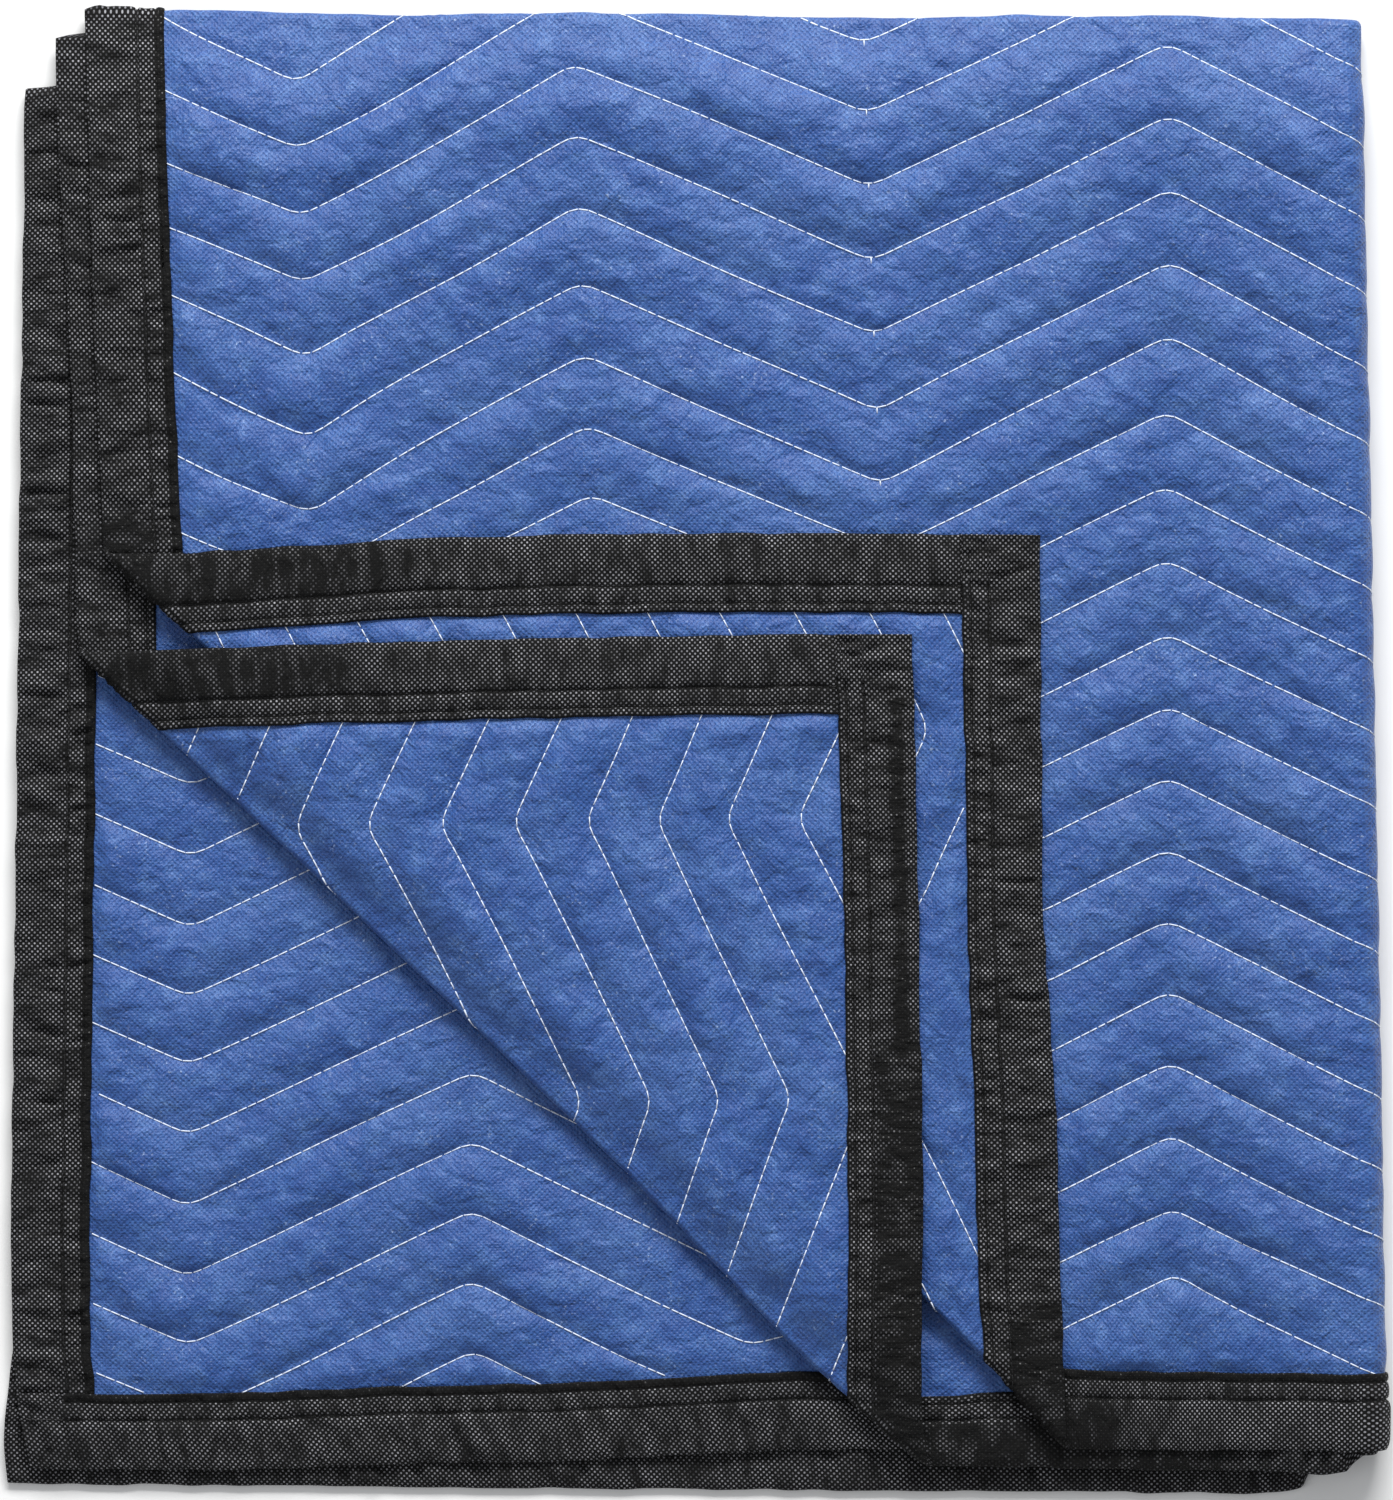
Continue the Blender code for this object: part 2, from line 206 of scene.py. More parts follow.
@dataclass(frozen=True)
class FoldPlan:
    """How the open sheet lies when folded.

    The end fold joins the two layers of a leaf, and the side fold lays one leaf on the other.
    side_edges gives each layer's side edge as x along it, and end_edges its end edge as y across
    it. The fold lines are given in the same way. end_hems is the width of the end bindings, as a
    share of the usual width. side_slack and end_slack_power say where, between its edge and its
    fold, a layer takes up what differs between its flat size and its place on the stack.
    """

    width: float = 1.865
    length: float = 2.040
    side_fold: float = 0.900
    end_fold: float = 1.020
    layer_step: float = 0.0068
    rest_half: float = 0.0032
    crown_half: float = 0.0030
    side_rise: float = 0.012
    corners: Mapping[Layer, TurnedCorner] = field(
        default_factory=lambda: {
            Layer.OUTER: TurnedCorner(side=0.666, end=0.653),
            Layer.INNER: TurnedCorner(side=0.599, end=0.601),
        }
    )
    inner_climb: Curve = Curve(
        ((0.000, 0.0), (0.009, 0.0018), (0.021, 0.0064), (0.033, 0.0113), (0.045, 0.0138))
    )
    side_swell: Curve = Curve(((0.0, 1.0), (0.020, 0.86), (0.052, 0.36), (0.090, 0.0)))
    side_edges: Mapping[tuple[Layer, Leaf], Curve] = field(
        default_factory=lambda: {
            (Layer.OUTER, Leaf.TOP): Curve(
                ((0.0, -0.385), (0.63, -0.422), (0.82, -0.431), (1.0, -0.437))
            ),
            (Layer.INNER, Leaf.TOP): Curve(
                (
                    (0.0, -0.429), (0.30, -0.436), (0.57, -0.4415), (0.80, -0.448), (0.90, -0.4555),
                    (0.9872, -0.4585), (0.9890, -0.434), (1.0, -0.437),
                ),
                straight=True,
            ),
            (Layer.INNER, Leaf.BASE): Curve(
                (
                    (0.0, -0.476), (0.06, -0.4865), (0.12, -0.4895), (0.37, -0.4875), (0.70, -0.4835),
                    (1.0, -0.480),
                )
            ),
            (Layer.OUTER, Leaf.BASE): Curve(
                (
                    (0.0, -0.4925), (0.031, -0.4950), (0.06, -0.4930), (0.10, -0.4885), (0.16, -0.484),
                    (0.37, -0.483), (1.0, -0.480),
                )
            ),
        }
    )
    end_edges: Mapping[tuple[Layer, Leaf], Curve] = field(
        default_factory=lambda: {
            (Layer.OUTER, Leaf.TOP): Curve(((0.0, -0.505), (0.50, -0.497), (1.0, -0.497))),
            (Layer.INNER, Leaf.TOP): Curve(
                (
                    (0.0, -0.519), (0.65, -0.509), (0.92, -0.5125), (0.985, -0.5125), (0.992, -0.5060),
                    (1.0, -0.500),
                )
            ),
            (Layer.INNER, Leaf.BASE): Curve(
                (
                    (0.0, -0.511), (0.08, -0.5120), (0.16, -0.5115), (0.28, -0.5075), (0.40, -0.5055),
                    (0.60, -0.4975), (0.80, -0.500), (1.0, -0.500),
                )
            ),
            (Layer.OUTER, Leaf.BASE): Curve(
                (
                    (0.0, -0.522), (0.30, -0.5245), (0.65, -0.527), (0.85, -0.5285), (0.93, -0.5285),
                    (0.9555, -0.5250), (0.9610, -0.5150), (1.0, -0.497),
                )
            ),
        }
    )
    end_fold_line: Mapping[Leaf, Curve] = field(
        default_factory=lambda: {
            Leaf.TOP: Curve(
                (
                    (0.0, 0.529), (0.12, 0.5275), (0.25, 0.5245), (0.36, 0.5260), (0.50, 0.5250),
                    (0.62, 0.5225), (0.75, 0.5235), (0.94, 0.5225), (1.0, 0.5205),
                )
            ),
            Leaf.BASE: Curve(((0.0, 0.4722), (0.50, 0.498), (1.0, 0.5205))),
        }
    )
    side_fold_line: Curve = Curve(((0.0, 0.4895), (0.31, 0.4845), (0.63, 0.4785), (1.0, 0.4715)))
    end_hems: Mapping[Layer, Curve] = field(
        default_factory=lambda: {
            Layer.OUTER: Curve(
                ((0.0, 1.0), (0.24, 1.0), (0.42, 1.12), (0.60, 1.13), (0.68, 1.0), (1.865, 1.0))
            ),
            Layer.INNER: Curve(
                ((0.0, 0.90), (0.08, 0.88), (0.45, 0.87), (0.58, 0.88), (0.70, 1.0), (1.865, 1.0))
            ),
        }
    )
    side_slack: tuple[float, float] = (0.55, 0.89)
    end_slack_power: Mapping[Leaf, int] = field(
        default_factory=lambda: {Leaf.TOP: 6, Leaf.BASE: 1}
    )
    foot: tuple[float, float, float] = (-0.00240, 0.00054, 0.0)
    drifts: Mapping[Layer, Drift] = field(
        default_factory=lambda: {
            Layer.OUTER: Drift(
                end_edge_x=Curve(
                    (
                        (0.00, 0.0045), (0.26, 0.0030), (0.33, 0.0060), (0.40, 0.0095), (0.51, 0.0110),
                        (0.66, 0.0120), (0.80, 0.0),
                    )
                ),
                side_edge_y=Curve(
                    (
                        (0.00, 0.0035), (0.24, 0.0005), (0.42, -0.0035), (0.52, -0.0095),
                        (0.66, -0.0150), (0.80, 0.0),
                    )
                ),
            ),
            Layer.INNER: Drift(
                end_edge_x=Curve(
                    (
                        (0.00, -0.0060), (0.18, -0.0057), (0.40, -0.0077), (0.54, -0.0117),
                        (0.60, -0.0090), (0.74, 0.0),
                    )
                ),
                side_edge_y=Curve(
                    ((0.00, -0.0030), (0.15, -0.0020), (0.42, -0.0020), (0.60, -0.0040), (0.74, 0.0))
                ),
            ),
        }
    )
    drift_reach: tuple[float, float] = (0.07, 0.24)
    fold_sink: Curve = Curve(((0.0, 0.64), (0.35, 0.64), (0.62, 0.62), (1.0, 0.50)))
    fold_reach: Curve = Curve(((0.0, 0.095), (0.38, 0.088), (0.50, 0.074), (1.0, 0.080)))
    fold_slope: Curve = Curve(((0.0, 1.0), (0.30, 0.64), (0.60, 0.28), (0.84, 0.05), (1.0, 0.0)))
    back_strip: tuple[float, float] = (0.125, 0.145)
    opening: float = 0.020
    overhang: tuple[float, float] = (-0.024, -0.008)
    side_bend_fade: float = 0.030
    end_bend_fade: float = 0.025
    corner_bend_fade: float = 0.022
    hollows: Unevenness = Unevenness(size=0.085, height=0.0010, seed=11)
    ripples: Unevenness = Unevenness(size=0.030, height=0.0004, seed=12)
    creases: Sequence[Crease] = tuple(
        Crease(*row)
        for row in (
            (-0.281, 0.415, 3, 0.163, 0.0078, 0.0018), (-0.333, 0.371, 85, 0.057, 0.0035, -0.0012),
            (-0.308, 0.425, -20, 0.064, 0.0050, -0.0010), (-0.136, 0.371, 22, 0.092, 0.0064, -0.0013),
            (-0.022, 0.391, -18, 0.078, 0.0064, -0.0014), (-0.075, 0.343, 5, 0.099, 0.0071, -0.0012),
            (0.002, 0.325, -30, 0.071, 0.0057, -0.0011), (0.318, 0.470, -28, 0.064, 0.0043, -0.0016),
            (0.300, 0.456, -30, 0.050, 0.0043, 0.0010), (-0.196, 0.336, 28, 0.071, 0.0057, -0.0011),
            (0.087, 0.354, -12, 0.064, 0.0064, -0.0011), (0.222, 0.318, 24, 0.078, 0.0064, -0.0011),
            (-0.210, 0.198, 30, 0.085, 0.0050, -0.0012), (-0.263, 0.166, -62, 0.043, 0.0043, 0.0013),
            (0.343, 0.205, -20, 0.064, 0.0064, -0.0010), (0.289, -0.417, -24, 0.064, 0.0043, -0.0015),
            (0.293, -0.372, -28, 0.057, 0.0043, -0.0012), (0.350, -0.199, -25, 0.078, 0.0057, -0.0010),
            (0.385, -0.128, -30, 0.057, 0.0057, 0.0010), (0.056, -0.044, 2, 0.064, 0.0043, -0.0016),
            (0.077, -0.110, 3, 0.050, 0.0043, -0.0014), (0.073, -0.124, -4, 0.043, 0.0035, 0.0010),
            (0.084, -0.299, 4, 0.050, 0.0035, -0.0015), (0.002, -0.036, -60, 0.043, 0.0050, -0.0012),
            (-0.068, -0.110, 20, 0.057, 0.0057, -0.0012), (-0.097, -0.086, 70, 0.050, 0.0050, 0.0011),
            (-0.125, -0.064, -30, 0.050, 0.0050, -0.0011), (-0.040, -0.178, -15, 0.064, 0.0057, -0.0012),
            (0.002, -0.206, 10, 0.057, 0.0057, 0.0010), (-0.175, -0.036, 60, 0.057, 0.0050, -0.0011),
            (-0.040, -0.015, 45, 0.043, 0.0050, 0.0011), (0.024, -0.093, 15, 0.050, 0.0050, 0.0011),
            (0.055, -0.165, -8, 0.050, 0.0040, -0.0016), (0.070, -0.152, 10, 0.043, 0.0040, 0.0012),
            (0.078, -0.205, -15, 0.043, 0.0040, -0.0014), (0.030, -0.075, 48, 0.040, 0.0040, -0.0015),
            (0.050, -0.062, -38, 0.036, 0.0036, -0.0014), (-0.012, -0.128, -50, 0.043, 0.0043, 0.0012),
            (-0.150, -0.150, 40, 0.050, 0.0043, -0.0013), (-0.085, -0.235, -12, 0.057, 0.0045, -0.0012),
            (0.020, -0.270, 25, 0.050, 0.0043, -0.0012), (-0.377, -0.335, 18, 0.078, 0.0043, -0.0012),
            (-0.316, -0.305, 35, 0.064, 0.0050, -0.0010), (-0.160, -0.291, -25, 0.064, 0.0057, -0.0010),
            (-0.189, -0.263, 25, 0.057, 0.0057, -0.0009), (-0.352, -0.383, -10, 0.071, 0.0057, -0.0010),
            (-0.408, -0.429, 25, 0.050, 0.0050, 0.0010),
        )
    )

    @property
    def end_radius(self) -> float:
        """Radius of the end fold and of the turned corners, at the middle of the cloth."""
        return self.layer_step / 2

    @property
    def end_arc(self) -> float:
        """Half the length of cloth that the end fold takes."""
        return self.end_radius * math.pi / 2

    @property
    def side_radius(self) -> float:
        """Radius of the side fold, at the middle of the leaf."""
        return self.layer_step + self.side_rise / 2

    @property
    def side_arc(self) -> float:
        """Half the length of cloth that the side fold takes."""
        return self.side_radius * math.pi / 2

    def side_span(self, leaf: Leaf) -> float:
        """Flat width of a leaf, from its side edge to the side fold's bend."""
        whole = self.side_fold if leaf is Leaf.TOP else self.width - self.side_fold
        return whole - self.side_arc

    def end_span(self, layer: Layer) -> float:
        """Flat length of a layer, from its end edge to the end fold's bend."""
        whole = self.end_fold if layer is Layer.OUTER else self.length - self.end_fold
        return whole - self.end_arc

    def past_corner_fold(self, layer: Layer, from_side: Array, from_end: Array) -> Array:
        """Distance past a corner's fold line, towards the corner."""
        line = self.corners[layer]
        reach = math.hypot(line.side, line.end)
        return (line.side * line.end - line.side * from_side - line.end * from_end) / reach

    def turn_corner(
        self, layer: Layer, from_side: Array, from_end: Array, up: Array
    ) -> tuple[Array, Array, Array]:
        """Turn a layer's corner back over its fold line.

        Args:
            layer: Which layer of the upper leaf.
            from_side: Distances from the side edge.
            from_end: Distances from the end edge.
            up: Heights above the layer's middle.

        Returns:
            The same three after the corner is turned.
        """
        line = self.corners[layer]
        reach = math.hypot(line.side, line.end)
        past = self.past_corner_fold(layer, from_side, from_end)
        angle = np.clip(past / self.end_radius, 0.0, math.pi)
        inwards = np.maximum(past - 2 * self.end_arc, 0.0)
        shift = (self.end_radius - up) * np.sin(angle) - inwards - np.maximum(past, 0.0)
        raised = self.end_radius - (self.end_radius - up) * np.cos(angle)
        if layer is Layer.INNER:
            raised = raised + self.inner_climb.at(inwards)
        return (
            from_side - line.side / reach * shift,
            from_end - line.end / reach * shift,
            np.where(past > 0, raised, up),
        )

    def layer_place(
        self, layer: Layer, leaf: Leaf, from_side: Array, from_end: Array
    ) -> tuple[Array, Array]:
        """Plan position of points of one layer.

        Args:
            layer: Which layer of the leaf.
            leaf: Which leaf.
            from_side: Distances from the side edge.
            from_end: Distances from the end edge.

        Returns:
            The x and the y of the points.
        """
        side_span, end_span = self.side_span(leaf), self.end_span(layer)
        from_side = np.minimum(from_side, side_span)
        from_end = np.minimum(from_end, end_span)
        across, along = from_side / side_span, from_end / end_span
        side_x = self.side_edges[layer, leaf].at(along)
        end_y = self.end_edges[layer, leaf].at(across)
        clear = self.end_radius + self.crown_half
        fold_x = self.side_fold_line.at(along) - self.side_radius - clear
        fold_y = self.end_fold_line[leaf].at(across) - clear
        taken_up = smoothstep(*self.side_slack, across)
        x = side_x + from_side + (fold_x - side_x - side_span) * taken_up
        power = self.end_slack_power[leaf]
        y = end_y + from_end + (fold_y - end_y - end_span) * along**power
        return x, y

    def place(self, u: Array, v: Array, w: Array) -> Array:
        """Lay points of the open sheet in the folds.

        Args:
            u: Places across the sheet.
            v: Places along it.
            w: Distances off the middle of the cloth, on its front side.

        Returns:
            Points of the folded blanket, one a row.
        """
        u, v, w = (np.array(part, dtype=float) for part in np.broadcast_arrays(u, v, w))
        drift_x, drift_y = self.drift(u, v)
        top = u < self.side_fold
        for layer in Layer:
            outer = layer is Layer.OUTER
            chosen = top & ((v < self.end_fold) == outer)
            from_end = v[chosen] if outer else self.length - v[chosen]
            up = w[chosen] if outer else -w[chosen]
            side, end, up = self.turn_corner(layer, u[chosen], from_end, up)
            u[chosen] = side
            v[chosen] = end if outer else self.length - end
            w[chosen] = up if outer else -up

        inner_share = np.clip((v - self.end_fold + self.end_arc) / (2 * self.end_arc), 0, 1)
        base_share = np.clip((u - self.side_fold + self.side_arc) / (2 * self.side_arc), 0, 1)
        x, y = np.zeros_like(u), np.zeros_like(u)
        for leaf, leaf_share in ((Leaf.TOP, 1 - base_share), (Leaf.BASE, base_share)):
            for layer, share in ((Layer.OUTER, 1 - inner_share), (Layer.INNER, inner_share)):
                from_side = u if leaf is Leaf.TOP else self.width - u
                from_end = v if layer is Layer.OUTER else self.length - v
                place_x, place_y = self.layer_place(layer, leaf, from_side, from_end)
                x += leaf_share * share * place_x
                y += leaf_share * share * place_y

        off_leaf = (self.end_radius + w) * np.cos(math.pi * inner_share)
        back = np.maximum(self.side_fold - self.side_arc - u, 0.0)
        radius = self.layer_step + self.side_rise * self.side_swell.at(back) / 2
        x += (radius + off_leaf) * np.sin(math.pi * base_share)
        y += (self.end_radius + w) * np.sin(math.pi * inner_share)
        z = self.rest_half + self.layer_step / 2 + radius
        z = z + (radius + off_leaf) * np.cos(math.pi * base_share)
        points = np.stack((x + drift_x, y + drift_y, z), axis=-1) - np.array(self.foot)
        return self.settled(points)

    def from_ends(self, u: Array, v: Array) -> tuple[Array, Array]:
        """Distances from both end edges, in shares of the binding's width there."""
        outer = v / self.end_hems[Layer.OUTER].at(u)
        return outer, (self.length - v) / self.end_hems[Layer.INNER].at(u)

    def drift(self, u: Array, v: Array) -> tuple[Array, Array]:
        """How far the turned corners stray at places of the open sheet, in x and in y."""
        drift_x, drift_y = np.zeros_like(u), np.zeros_like(u)
        for layer, drift in self.drifts.items():
            outer = layer is Layer.OUTER
            chosen = (u < self.side_fold) & ((v < self.end_fold) == outer)
            from_side, from_end = u[chosen], (v if outer else self.length - v)[chosen]
            near_end = 1 - smoothstep(*self.drift_reach, from_end)
            near_side = 1 - smoothstep(*self.drift_reach, from_side)
            drift_x[chosen] = drift.end_edge_x.at(from_side) * near_end
            drift_y[chosen] = drift.side_edge_y.at(from_end) * near_side
        return drift_x, drift_y

    def open_share(self, side: Side, u: Array, v: Array, margin: float = 0.0) -> Array:
        """How far places of the sheet lie open to the eye, from 0 under cloth to 1.

        Args:
            side: Which side of the cloth.
            u: Places across the sheet.
            v: Places along it.
            margin: How far under the covering cloth the open share goes on.

        Returns:
            Shares, fading towards the cloth that covers them.
        """
        top, outer = u < self.side_fold, v < self.end_fold
        from_side = np.where(top, u, self.width - u)
        from_end = np.where(outer, v, self.length - v)
        past_outer = self.past_corner_fold(Layer.OUTER, from_side, from_end)
        past_inner = self.past_corner_fold(Layer.INNER, from_side, from_end)
        if side is Side.BACK:
            near_edge = np.minimum(from_side, from_end) - margin
            strip = 1 - smoothstep(*self.back_strip, near_edge)
            turned = smoothstep(-margin, self.opening - margin, past_outer)
            return np.where(top & outer, turned * strip, 0.0)
        line = self.corners[Layer.OUTER]
        reach = math.hypot(line.side, line.end)
        mirrored_side = from_side + 2 * past_outer * line.side / reach
        mirrored_end = from_end + 2 * past_outer * line.end / reach
        covered = np.minimum(mirrored_side, mirrored_end) - margin
        flat_top = np.where(past_outer < 0, 1 - smoothstep(*self.overhang, covered), 0.0)
        turned = smoothstep(-margin, self.opening - margin, past_inner)
        below = smoothstep(self.opening - margin, 2 * self.opening - margin, past_inner)
        return np.where(top, np.where(outer, flat_top, turned), np.where(outer, 0.0, below))

    def upward(self, u: Array, v: Array) -> Array:
        """Whether the front of the cloth faces up at places of the sheet: from -1 to 1."""
        top, outer = u < self.side_fold, v < self.end_fold
        from_end = np.where(outer, v, self.length - v)
        facing = np.where(top == outer, 1.0, -1.0)
        past_outer = self.past_corner_fold(Layer.OUTER, u, from_end)
        past_inner = self.past_corner_fold(Layer.INNER, u, from_end)
        past = np.where(outer, past_outer, past_inner)
        turned = smoothstep(0.0, 2 * self.end_arc, past) * top
        facing = np.where(~top & outer, -1.0, np.where(~top, 1.0, facing))
        return facing * (1 - 2 * turned)

    def fold_share(self, u: Array, v: Array) -> Array:
        """How near places of the sheet are to a fold, from 0 to 1 in its bend."""
        top, outer = u < self.side_fold, v < self.end_fold
        from_end = np.where(outer, v, self.length - v)
        faded = self.side_arc + self.side_bend_fade
        share = 1 - smoothstep(self.side_arc, faded, np.abs(u - self.side_fold))
        faded = self.end_arc + self.end_bend_fade
        share = np.maximum(share, 1 - smoothstep(self.end_arc, faded, np.abs(v - self.end_fold)))
        faded = self.end_arc + self.corner_bend_fade
        for layer in Layer:
            past = self.past_corner_fold(layer, u, from_end) - self.end_arc
            near = 1 - smoothstep(self.end_arc, faded, np.abs(past))
            share = np.where(top & (outer == (layer is Layer.OUTER)), np.maximum(share, near), share)
        return share

    def settled(self, points: Array) -> Array:
        """Give the stack its soft hollows and creases, and let it sink towards its top folds."""
        x, y, z = points[:, 0], points[:, 1], points[:, 2]
        lift = self.hollows.at(x, y) + self.ripples.at(x, y)
        for crease in self.creases:
            angle = math.radians(crease.angle)
            along = (x - crease.x) * math.cos(angle) + (y - crease.y) * math.sin(angle)
            off = (y - crease.y) * math.cos(angle) - (x - crease.x) * math.sin(angle)
            fade = np.exp(-((2 * along / crease.length) ** 4) - (off / crease.width) ** 2)
            lift = lift + crease.height * fade
        across = (x - self.side_edges[Layer.OUTER, Leaf.TOP].at(1.0)) / self.side_span(Leaf.TOP)
        across = np.clip(across, 0.0, 1.0)
        from_fold = (self.end_fold_line[Leaf.TOP].at(across) - y) / self.fold_reach.at(across)
        sink = self.fold_sink.at(across) * self.fold_slope.at(from_fold)
        z = z * (1 - sink) + lift * np.clip(z / self.stack_height, 0.0, 1.2)
        points[:, 2] = np.maximum(z, 0.0)
        return points

    @property
    def stack_height(self) -> float:
        """Height of the middle of the uppermost layer."""
        return self.rest_half + 3 * self.layer_step


@dataclass(frozen=True)
class Quilting:
    """Zigzag rows of quilting across the sheet, and the padding that they draw in.

    The cover stands highest midway between two rows. It is puffier where nothing lies on it.
    wander_columns says at each u how far the rows stray along v, and leans how far the zigzag is
    moved across the sheet, as a curve along v and one along u. No row is sewn before first_row.
    """

    plan: FoldPlan
    pitch: float = 0.0513
    first: float = 0.0243
    first_row: int = 2
    settling_rounds: int = 6
    point_rounding: float = 0.0075
    stitch_half: float = 0.0008
    crown_half: float = 0.0030
    open_rise: float = 0.0019
    fold_crown: float = 0.35
    hem_half: float = 0.0006
    hem_width: float = 0.0560
    hem_fade: tuple[float, float] = (-0.001, 0.010)
    arch_power: float = 2.2
    pucker_reach: float = 0.011
    fold_calm: float = 0.6
    zigzag: Curve = Curve(
        (
            (0.000, -0.049), (0.147, -0.121), (0.345, -0.018), (0.552, -0.103), (0.760, 0.000),
            (0.955, -0.100), (1.340, -0.011), (1.537, -0.116), (1.740, -0.025), (1.865, -0.084),
        ),
        straight=True,
    )
    wander_columns: Sequence[tuple[float, Curve]] = tuple(
        (place, Curve(rows))
        for place, rows in (
            (
                0.000,
                (
                    (0.00, 0.021), (0.57, 0.021), (0.68, 0.004), (0.81, 0.000), (0.86, -0.003),
                    (0.904, -0.014), (0.955, -0.0115), (1.003, -0.020), (1.06, 0.0), (1.25, 0.0035),
                ),
            ),
            (
                0.147,
                (
                    (0.00, 0.0245), (0.55, 0.0225), (0.68, 0.005), (0.82, 0.006), (0.87, 0.001),
                    (0.92, -0.004), (0.97, -0.010), (1.06, 0.0), (1.25, 0.0048),
                ),
            ),
            (
                0.250,
                (
                    (0.00, 0.0216), (0.50, 0.0207), (0.55, 0.0185), (0.68, 0.0045), (0.82, 0.0035),
                    (0.87, 0.0022), (0.92, -0.0003), (0.97, -0.0038), (1.06, 0.0), (1.25, 0.0005),
                ),
            ),
            (
                0.345,
                (
                    (0.00, 0.0306), (0.18, 0.0306), (0.50, 0.019), (0.68, 0.004), (0.83, 0.001),
                    (0.88, 0.004), (1.06, 0.0), (1.25, -0.0035),
                ),
            ),
            (
                0.552,
                (
                    (0.00, 0.019), (0.48, 0.017), (0.69, -0.006), (0.80, -0.002), (0.90, 0.002),
                    (1.06, 0),
                ),
            ),
            (
                0.660,
                (
                    (0.00, 0.0120), (0.085, 0.0105), (0.134, 0.0047), (0.20, 0.0), (0.30, -0.002),
                    (0.45, -0.005), (0.65, -0.005), (0.85, -0.003), (1.00, 0.0),
                ),
            ),
            (
                0.748,
                (
                    (0.12, -0.001), (0.17, -0.006), (0.24, -0.005), (0.32, -0.0075), (0.50, -0.0085),
                    (0.72, -0.0075), (0.78, -0.0050), (0.85, -0.0015), (1.00, 0.001), (1.06, 0.0),
                ),
            ),
            (
                0.900,
                (
                    (0.10, 0.002), (0.20, -0.004), (0.45, -0.004), (0.60, -0.006), (0.75, -0.004),
                    (0.90, -0.002), (1.00, 0.001), (1.06, 0.0),
                ),
            ),
            (
                1.020,
                (
                    (0.00, 0.0), (2.04, 0.0),
                ),
            ),
        )
    )
    leans: Sequence[tuple[Curve, Curve]] = (
        (
            Curve(((0.0, 0.0085), (0.58, 0.0085), (0.70, 0.0), (2.04, 0.0))),
            Curve(((0.0, 1.0), (0.15, 1.0), (0.25, 0.94), (0.345, 0.0), (1.865, 0.0))),
        ),
        (
            Curve(
                (
                    (0.0, 0.0170), (0.12, 0.0170), (0.20, 0.0140), (0.42, 0.0130), (0.55, 0.0095),
                    (0.70, 0.0080), (0.85, 0.0015), (1.06, 0.0), (2.04, 0.0),
                )
            ),
            Curve(((0.58, 0.0), (0.66, 0.5), (0.745, 1.0), (0.93, 1.0), (1.02, 0.0))),
        ),
        (
            Curve(((0.0, 0.0), (1.08, 0.0), (1.25, 0.0160), (2.04, 0.0160))),
            Curve(((0.0, 1.0), (0.15, 1.0), (0.345, 0.88), (0.62, 0.0), (1.865, 0.0))),
        ),
    )
    stray: Unevenness = Unevenness(size=0.11, height=0.0016, seed=31)
    puff: Unevenness = Unevenness(size=0.048, height=0.35, seed=32)
    pucker: Unevenness = Unevenness(size=0.0105, height=0.0016, seed=33, stretch=2.6, angle=90.0)
    wrinkles: Sequence[Unevenness] = (
        Unevenness(size=0.019, height=0.00150, seed=34, stretch=2.6, angle=38.0),
        Unevenness(size=0.014, height=0.00115, seed=35, stretch=3.0, angle=-47.0),
        Unevenness(size=0.034, height=0.00150, seed=36, stretch=1.6, angle=8.0),
    )

    def shift(self, u: Array, v: Array) -> Array:
        """How far along the sheet a row has moved at u and about v."""
        window = self.point_rounding
        leant = u + sum(along.at(v) * across.at(u) for along, across in self.leans)
        rounded = sum(self.zigzag.at(leant + window * part) for part in (-1, -0.5, 0, 0.5, 1)) / 5
        places = [column for column, _ in self.wander_columns]
        values = np.stack([curve.at(v) for _, curve in self.wander_columns], axis=-1)
        index = np.clip(np.searchsorted(places, u, side="right") - 1, 0, len(places) - 2)
        low, high = np.array(places)[index], np.array(places)[index + 1]
        share = np.clip((u - low) / (high - low), 0.0, 1.0)
        near = np.take_along_axis(values, index[..., None], axis=-1)[..., 0]
        far = np.take_along_axis(values, index[..., None] + 1, axis=-1)[..., 0]
        return rounded + near * (1 - share) + far * share + self.stray.at(u, v)

    def rows(self, u: Array, v: Array) -> Array:
        """Number of quilting rows between the first one and points of the sheet."""
        return (v - self.first - self.shift(u, v)) / self.pitch

    def row_v(self, row: Array, u: Array) -> Array:
        """v of a quilting row, or of a place between two, at u."""
        v = self.first + self.zigzag.at(u) + row * self.pitch
        for _ in range(self.settling_rounds):
            v = self.first + self.shift(u, v) + row * self.pitch
        return v

